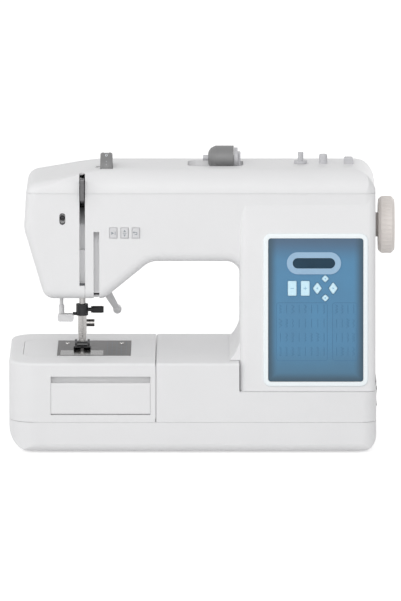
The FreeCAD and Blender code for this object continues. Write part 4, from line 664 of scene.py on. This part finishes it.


# three at the back and two in the needle plate, then the one in the pocket of the face cover, dark as
# painted shade of the pocket
screwSets = {
    "crossScrews": {"finish": "steel_nickelled",
                    "seats": [((-108, 56, 220), (0, 1, 0)), ((54, 56, 235), (0, 1, 0)),
                              ((162, 56, 235), (0, 1, 0)), ((-144, 28, 96.2), (0, 0, 1)),
                              ((-86, 28, 96.2), (0, 0, 1))]},
    "faceScrew": {"finish": "steel_blackened", "seats": [((pocket["x"], -49, pocket["z"]), (0, -1, 0))]},
}
for name, screws in screwSets.items():
    look = {**screwSizes, "body": "machine_body", "slot": "steel", "finish": screws["finish"]}
    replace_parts(growPiece(name, screwTree, look, seatPoints(name + "_seats", screws["seats"])), "screws")

# straight lines in a row
rowTree, given = startTree("barRow", Int=["Count"], Vector=["Start", "Step", "Size"])
spots = addNode(rowTree, "GeometryNodeMeshLine",
                {"Count": given["Count"], "Start Location": given["Start"], "Offset": given["Step"]})
bar = addNode(rowTree, "GeometryNodeMeshCube", {"Size": given["Size"]})
placed = addNode(rowTree, "GeometryNodeInstanceOnPoints",
                 {"Points": spots.outputs[0], "Instance": bar.outputs[0]})
endTree(rowTree, given, placed.outputs[0])

plateTop = nodeBox("needle_plate")[1].z
plateInk = {"body": "machine_body", "slot": "dark_plastic", "finish": "ink_slate"}
rows = {
    # seam guide lines to the right of the needle, engraved and filled with ink
    "plateGuides": {**plateInk, "Count": 5, "Start": (-101.0, 0.0, plateTop), "Step": (5.0, 0.0, 0.0),
                    "Size": (0.4, 84.0, 0.06)},
    # cross lines of the same scale
    "plateTicks": {**plateInk, "Count": 2, "Start": (-90.5, -10.0, plateTop), "Step": (0.0, 20.0, 0.0),
                   "Size": (21.0, 0.4, 0.06)},
}
for name, look in rows.items():
    growPiece(name, rowTree, look)
print("screws and needle plate lines made")

# stitch pictures printed on the control panel: a zigzag or straight run of points each, by a fixed seed
chartRule = {"secondSeed": 7.0, "beats": 3.0, "straightBelow": 0.25, "flatten": 0.25}
chartTree, given = startTree("stitchChart", Int=["Columns", "Symbols", "Points", "Seed"],
                             Float=["StepU", "StepV", "Height", "Swing", "Line"], Vector=["Corner"])

# sums behind the pictures, one row each: result, operation and two sources, an earlier result or a number
sums = [
    ("total", "MULTIPLY", "Symbols", "Points"), ("counted", "ADD", "number", 0.5),
    ("shared", "DIVIDE", "counted", "Points"), ("symbol", "FLOOR", "shared", 0.0),
    ("passed", "MULTIPLY", "symbol", "Points"), ("inside", "SUBTRACT", "number", "passed"),
    ("final", "SUBTRACT", "Points", 1.0), ("along", "DIVIDE", "inside", "final"),
    ("placed", "ADD", "symbol", 0.5), ("lines", "DIVIDE", "placed", "Columns"),
    ("row", "FLOOR", "lines", 0.0), ("above", "MULTIPLY", "row", "Columns"),
    ("column", "SUBTRACT", "symbol", "above"), ("otherSeed", "ADD", "Seed", chartRule["secondSeed"]),
    ("wide", "RANDOM", "symbol", "Seed"), ("beat", "RANDOM", "symbol", "otherSeed"),
    ("spread", "MULTIPLY", "beat", chartRule["beats"]), ("whole", "FLOOR", "spread", 0.0),
    ("period", "ADD", "whole", 1.0), ("folded", "PINGPONG", "inside", "period"),
    ("doubled", "MULTIPLY", "folded", 2.0), ("bend", "SUBTRACT", "doubled", "period"),
    ("ratio", "DIVIDE", "bend", "period"), ("reach", "MULTIPLY", "ratio", "Swing"),
    ("zigzag", "GREATER_THAN", "wide", chartRule["straightBelow"]), ("share", "MULTIPLY", "zigzag", "wide"),
    ("swing", "MULTIPLY", "reach", "share"), ("stepped", "MULTIPLY", "column", "StepU"),
    ("u", "ADD", "stepped", "swing"), ("climbed", "MULTIPLY", "along", "Height"),
    ("lowered", "MULTIPLY", "row", "StepV"), ("v", "SUBTRACT", "climbed", "lowered"),
    ("last", "COMPARE", "inside", "final"),
]
wires = {socket.name: socket for socket in given}
wires["number"] = addNode(chartTree, "GeometryNodeInputIndex").outputs[0]
for result, operation, one, two in sums:
    if operation == "RANDOM":
        wires[result] = addNode(chartTree, "FunctionNodeRandomValue", {"ID": wires[one], "Seed": wires[two]},
                                data_type="FLOAT").outputs[1]
    else:
        wires[result] = addNode(chartTree, "ShaderNodeMath",
                                {0: wires.get(one, one), 1: wires.get(two, two)},
                                operation=operation).outputs[0]
dots = addNode(chartTree, "GeometryNodeMeshLine", {"Count": wires["total"], "Offset": (0.0, 0.0, 0.0)})
spot = addNode(chartTree, "ShaderNodeCombineXYZ", {"X": wires["u"], "Y": wires["v"]})
corner = addNode(chartTree, "ShaderNodeVectorMath", {0: spot.outputs[0], 1: given["Corner"]},
                 operation="ADD")
drawn = addNode(chartTree, "GeometryNodeSetPosition",
                {"Geometry": dots.outputs[0], "Position": corner.outputs[0]})
parted = addNode(chartTree, "GeometryNodeDeleteGeometry",
                 {"Geometry": drawn.outputs[0], "Selection": wires["last"]}, domain="EDGE", mode="EDGE_FACE")
curve = addNode(chartTree, "GeometryNodeMeshToCurve", {0: parted.outputs[0]})
nib = addNode(chartTree, "GeometryNodeCurvePrimitiveQuadrilateral",
              {"Width": given["Line"], "Height": given["Line"]})
tube = addNode(chartTree, "GeometryNodeCurveToMesh",
               {"Curve": curve.outputs[0], "Profile Curve": nib.outputs[0], "Fill Caps": True})
thin = addNode(chartTree, "GeometryNodeTransform",
               {"Geometry": tube.outputs[0], "Scale": (1.0, 1.0, chartRule["flatten"])})
endTree(chartTree, given, thin.outputs[0])

chartLook = {"body": "machine_body", "slot": "panel_blue", "finish": "ink_deep_blue", "Points": 13,
             "StepV": 15.0, "Height": 9.0, "Swing": 1.8, "Line": 0.5}
charts = {
    "stitchChart": {"Columns": 8, "Symbols": 32, "Corner": (13.0, 72.5, 0.0), "StepU": 6.6, "Seed": 4},
    "stitchChartSide": {"Columns": 4, "Symbols": 16, "Corner": (72.5, 72.5, 0.0), "StepU": 6.0, "Seed": 21},
}
panelFace = panelPlace @ Vector((0, 0, panel["face"])) * mm
chartPlace = Matrix.Translation(panelFace) @ Matrix.Rotation(panelTurn, 4, "X")
for name, sizes in charts.items():
    growPiece(name, chartTree, {**chartLook, **sizes}, place=chartPlace)
print("stitch chart printed")

# printed frames round the two groups of pictures
chartFrames = {"boxes": [(8.5, 63.0, 22.0, 84.0), (68.0, 94.5, 22.0, 84.0)], "line": 0.6, "corner": 3.0,
               "ink": 0.06}
line, corner = chartFrames["line"], chartFrames["corner"]
shape = bmesh.new()
for u0, u1, v0, v1 in chartFrames["boxes"]:
    frameSlab(shape, roundOutline(u0, u1, v0, v1, corner),
              roundOutline(u0 + line, u1 - line, v0 + line, v1 - line, corner - line),
              panel["face"], panel["face"] + chartFrames["ink"], panelPlace)
addPiece("chartFrames", closeMesh("chartFrames", shape), "machine_body", "ink_deep_blue")

# thin slabs of ink on a key or button, let a little into its face
markInk = {"sunk": 0.02, "proud": 0.05}


def printMarks(name, outlines, face, place, body, finishName):
    shape = bmesh.new()
    for outline in outlines:
        slab(shape, outline, face - markInk["sunk"], face + markInk["proud"], place)
    addPiece(name, closeMesh(name, shape), body, finishName)


# marks on the keys: minus, plus and four small arrows
keyMarks = {"top": 3.2, "v": 99.0, "arm": 1.8, "line": 0.35, "across": 8.4, "up": 10.2, "tip": 1.3}
minusAt, plusAt, padAt = (nodeBox(name)[2].x - panelBase.x
                          for name in ("stitch_key_left", "stitch_key_right", "arrow_pad"))
v, arm, line = keyMarks["v"], keyMarks["arm"], keyMarks["line"]
minus = [boxOutline(minusAt - arm, minusAt + arm, v - line, v + line)]
# three corners of the plus and their quarter turns
corners = [complex(*corner) * 1j ** turns for turns in range(4)
           for corner in ((-line, -line), (-line, -arm), (line, -arm))]
plus = [[(plusAt + corner.real, v + corner.imag) for corner in corners]]
across, up = keyMarks["across"], keyMarks["up"]
arrows = [arrowOutline(padAt + du, v + dv, aim, keyMarks["tip"])
          for du, dv, aim in ((across, 0, 0), (0, up, 90), (-across, 0, 180), (0, -up, 270))]
for name, outlines, body in (("minusMark", minus, "key_left"), ("plusMark", plus, "key_right"),
                             ("arrowMarks", arrows, "arrows")):
    printMarks(name, outlines, keyMarks["top"], panelPlace, body, "ink_sky")

# marks on the three small buttons, from the middle of each: start and stop, needle up and down, reverse
buttonMarks = {
    "startStopMark": {"node": "start_stop_button", "body": "start_stop",
                      "outlines": [arrowOutline(-1.2, 0, 0, 1.9), boxOutline(1.6, 2.3, -1.7, 1.7)]},
    "upDownMark": {"node": "needle_position_button", "body": "needle_position",
                   "outlines": [arrowOutline(0, 2.2, 90, 1.6), arrowOutline(0, -2.2, 270, 1.6),
                                boxOutline(-2.0, 2.0, -0.3, 0.3)]},
    "reverseMark": {"node": "reverse_button", "body": "reverse",
                    "outlines": [[(-1.6, 1.2), (1.4, 1.2), (1.4, -1.8), (-1.4, -1.8),
                                  (-1.4, -1.1), (0.7, -1.1), (0.7, 0.5), (-1.6, 0.5)],
                                 arrowOutline(-2.3, 0.85, 180, 1.4)]},
}
for name, mark in buttonMarks.items():
    low, high, middle = nodeBox(mark["node"])
    place = Matrix.Translation((middle.x, low.y, middle.z)) @ frontPlace
    printMarks(name, mark["outlines"], 0.0, place, mark["body"], "ink_silver")

# on and off marks on the rocker, each laid on its own sloping half
rocker = {"x": 186.16, "rise": 5.0, "slope": 4.17, "bar": (0.45, 2.2), "ring": (2.0, 1.3), "steps": 10,
          "ink": (-0.03, 0.06)}
middle = nodeBox("power_switch")[2]
low, high = rocker["ink"]
for name, side in (("onMark", 1), ("offMark", -1)):
    place = (Matrix.Translation((rocker["x"], middle.y, middle.z + side * rocker["rise"]))
             @ Matrix.Rotation(math.radians(side * rocker["slope"]), 4, "Y") @ rightPlace)
    shape = bmesh.new()
    if side > 0:
        wide, tall = rocker["bar"]
        slab(shape, boxOutline(-wide, wide, -tall, tall), low, high, place)
    else:
        rings = [roundOutline(-reach, reach, -reach, reach, reach, rocker["steps"])
                 for reach in rocker["ring"]]
        frameSlab(shape, rings[0], rings[1], low, high, place)
    addPiece(name, closeMesh(name, shape), "switch", "ink_white")
print("keys, buttons and rocker marked")

# bright sleeves on the two pins of the mains inlet
inletPins = {"fromMiddle": 4.0, "steps": 20,
             "profile": [(0, 169.5), (1.45, 169.5), (1.45, 181.4), (1.1, 182.2), (0, 182.5)]}
middle = nodeBox("mains_inlet")[2]
shape = bmesh.new()
for side in (-1, 1):
    place = Matrix.Translation((0, middle.y + side * inletPins["fromMiddle"], middle.z)) @ rightPlace
    turned(shape, inletPins["profile"], place, inletPins["steps"])
addPiece("inletPins", closeMesh("inletPins", shape), "machine_body", "steel_nickelled")

# white grip on the tip of the presser lifter
lifterGrip = {"x": -91.0, "z": 129.7, "steps": 28,
              "profile": [(0, -57.7), (3.4, -57.7), (3.4, -57.2), (2.8, -56.9), (0, -56.8)]}
shape = bmesh.new()
turned(shape, lifterGrip["profile"], Matrix.Translation((lifterGrip["x"], 0, lifterGrip["z"])) @ frontPlace,
       lifterGrip["steps"])
addPiece("lifterGrip", closeMesh("lifterGrip", shape), "lifter", "abs_white")

# presser foot: a plate with a needle slot and two toes that curl up, lugs and cross bar
sole, footX = nodeBox("presser_foot")[0].z, nodeBox("presser_foot")[2].x
foot = {"across": [-9, -5.2, -1.5, 1.5, 5.2, 9], "ys": [-12, -11, -9.5, -8, -6.5, -5, -4, 4, 10, 16],
        "outerStrips": (0, 4), "middleStrip": 2, "slot": 4.0, "thick": 2.4, "curlFrom": -5.0, "curl": 0.05,
        "thin": 0.14, "lugOut": 6.8, "lugHalf": 1.2,
        "lug": [(7, 100.4), (13, 100.4), (13, 104), (12, 105.5), (10, 106), (8, 105.5), (7, 104)],
        "barRadius": 1.2, "barY": 10.0, "barZ": 102.2, "steps": 20}


def gridPlate(shape, xs, ys, keep, level):
    made = {}

    def corner(i, j, top):
        if (i, j, top) not in made:
            made[i, j, top] = shape.verts.new(Vector((xs[i], ys[j], level(ys[j], top))) * mm)
        return made[i, j, top]

    cells = [(i, j) for i in range(len(xs) - 1) for j in range(len(ys) - 1) if keep(i, j)]
    for i, j in cells:
        square = [(i, j), (i + 1, j), (i + 1, j + 1), (i, j + 1)]
        shape.faces.new([corner(a, b, True) for a, b in square])
        shape.faces.new([corner(a, b, False) for a, b in square[::-1]])
        for k, beside in enumerate(((i, j - 1), (i + 1, j), (i, j + 1), (i - 1, j))):
            if beside not in cells:
                one, two = square[k], square[(k + 1) % 4]
                shape.faces.new((corner(*one, False), corner(*two, False),
                                 corner(*two, True), corner(*one, True)))


# whole behind the needle, only the outer strips beside it, two toes in front
def footCell(i, j):
    if foot["ys"][j] >= foot["slot"]:
        return True
    if foot["ys"][j] >= -foot["slot"]:
        return i in foot["outerStrips"]
    return i != foot["middleStrip"]


def footLevel(y, top):
    ahead = max(0.0, foot["curlFrom"] - y)
    return sole + foot["curl"] * ahead ** 2 + (foot["thick"] - foot["thin"] * ahead if top else 0.0)


shape = bmesh.new()
gridPlate(shape, [footX + across for across in foot["across"]], foot["ys"], footCell, footLevel)
lugs = [footX - foot["lugOut"], footX + foot["lugOut"]]
for x in lugs:
    slab(shape, foot["lug"], x - foot["lugHalf"], x + foot["lugHalf"], rightPlace)
reach = foot["barRadius"]
turned(shape, [(0, lugs[0]), (reach, lugs[0]), (reach, lugs[1]), (0, lugs[1])],
       Matrix.Translation((0, foot["barY"], foot["barZ"])) @ rightPlace, foot["steps"])
# the foot's near-black steel is painted shade under the head
piece = addPiece("curledFoot", closeMesh("curledFoot", shape), "presser", "steel_blackened")
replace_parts(piece, "presser_foot")
print("inlet pins, lifter grip and presser foot made")


# 1 for what the camera, gloss or glass sees, 0 for the light that falls on things
def seenRays(tree):
    ray = addNode(tree, "ShaderNodeLightPath").outputs
    mirror = addNode(tree, "ShaderNodeMath", {0: ray["Is Glossy Ray"], 1: ray["Is Transmission Ray"]},
                     operation="ADD")
    seen = addNode(tree, "ShaderNodeMath", {0: ray["Is Camera Ray"], 1: mirror.outputs[0]},
                   operation="ADD", use_clamp=True)
    return seen.outputs[0]


# pale floor: paper under the lamps plus a glow that is only seen and lights nothing, so it reaches white
# in the open and keeps the shadow close to the object
floorLook = {"size": 40.0, "colour": "e9e9e9", "glow": 0.57, "glowColour": "ffffff"}
half = floorLook["size"] / 2
floorMesh = bpy.data.meshes.new("floor")
floorMesh.from_pydata([(u, v, 0) for u, v in boxOutline(-half, half, -half, half)], [], [(0, 1, 2, 3)])
floor = bpy.data.objects.new("floor", floorMesh)
scene.collection.objects.link(floor)
floorMaterial = bpy.data.materials.new("floor_paper")
floorMaterial.use_nodes = True
tree = floorMaterial.node_tree
tree.nodes.clear()
paper = addNode(tree, "ShaderNodeBsdfDiffuse", {"Color": linear(floorLook["colour"])})
share = addNode(tree, "ShaderNodeMath", {0: seenRays(tree), 1: floorLook["glow"]}, operation="MULTIPLY")
glow = addNode(tree, "ShaderNodeEmission",
               {"Color": linear(floorLook["glowColour"]), "Strength": share.outputs[0]})
both = addNode(tree, "ShaderNodeAddShader", {0: paper.outputs[0], 1: glow.outputs[0]})
addNode(tree, "ShaderNodeOutputMaterial", {"Surface": both.outputs[0]})
floorMesh.materials.append(floorMaterial)

# world: soft even light, plain white where it is seen
worldLook = {"colour": "ffffff", "level": 0.61, "seenLevel": 1.0}
world = bpy.data.worlds.new("studio")
scene.world = world
world.use_nodes = True
tree = world.node_tree
tree.nodes.clear()
level = addNode(tree, "ShaderNodeMapRange",
                {0: seenRays(tree), 3: worldLook["level"], 4: worldLook["seenLevel"]})
sky = addNode(tree, "ShaderNodeBackground",
              {"Color": linear(worldLook["colour"]), "Strength": level.outputs[0]})
addNode(tree, "ShaderNodeOutputWorld", {"Surface": sky.outputs[0]})

# soft boxes, in metres: a broad one in front and above, weaker ones at the left and low behind
lampAim = Vector((0.0, 0.0, 0.15))
lamps = {
    "frontBox": {"at": (-0.3, -1.9, 1.2), "size": 1.6, "power": 16.0},
    "leftBox": {"at": (-1.7, -0.5, 0.9), "size": 1.2, "power": 4.2},
    "backBox": {"at": (0.9, 1.9, 0.35), "size": 1.2, "power": 5.0},
}
for name, lamp in lamps.items():
    light = bpy.data.lights.new(name, "AREA")
    light.energy = lamp["power"]
    light.size = lamp["size"]
    holder = bpy.data.objects.new(name, light)
    holder.location = lamp["at"]
    holder.rotation_euler = (lampAim - Vector(lamp["at"])).to_track_quat("-Z", "Y").to_euler()
    scene.collection.objects.link(holder)
scene.view_settings.view_transform = "Standard"

# camera: straight on, a little above, long lens
view = {"target": (-1.6, 0.0, 149.6), "elevation": 9.9, "distance": 9000.0, "mmPerPixel": 1.068,
        "pixelsWide": 401, "sensor": 36.0, "farthest": 100.0}
lean = math.radians(view["elevation"])
target = Vector(view["target"]) * mm
camera = bpy.data.objects.new("camera", bpy.data.cameras.new("camera"))
camera.location = target + Vector((0, -math.cos(lean), math.sin(lean))) * view["distance"] * mm
camera.rotation_euler = (math.radians(90) - lean, 0, 0)
camera.data.sensor_fit = "HORIZONTAL"
camera.data.sensor_width = view["sensor"]
camera.data.lens = view["distance"] / view["mmPerPixel"] * view["sensor"] / view["pixelsWide"]
camera.data.clip_end = view["farthest"]
camera.data.dof.use_dof = False
scene.collection.objects.link(camera)
scene.camera = camera
print("stage, lamps and camera set")
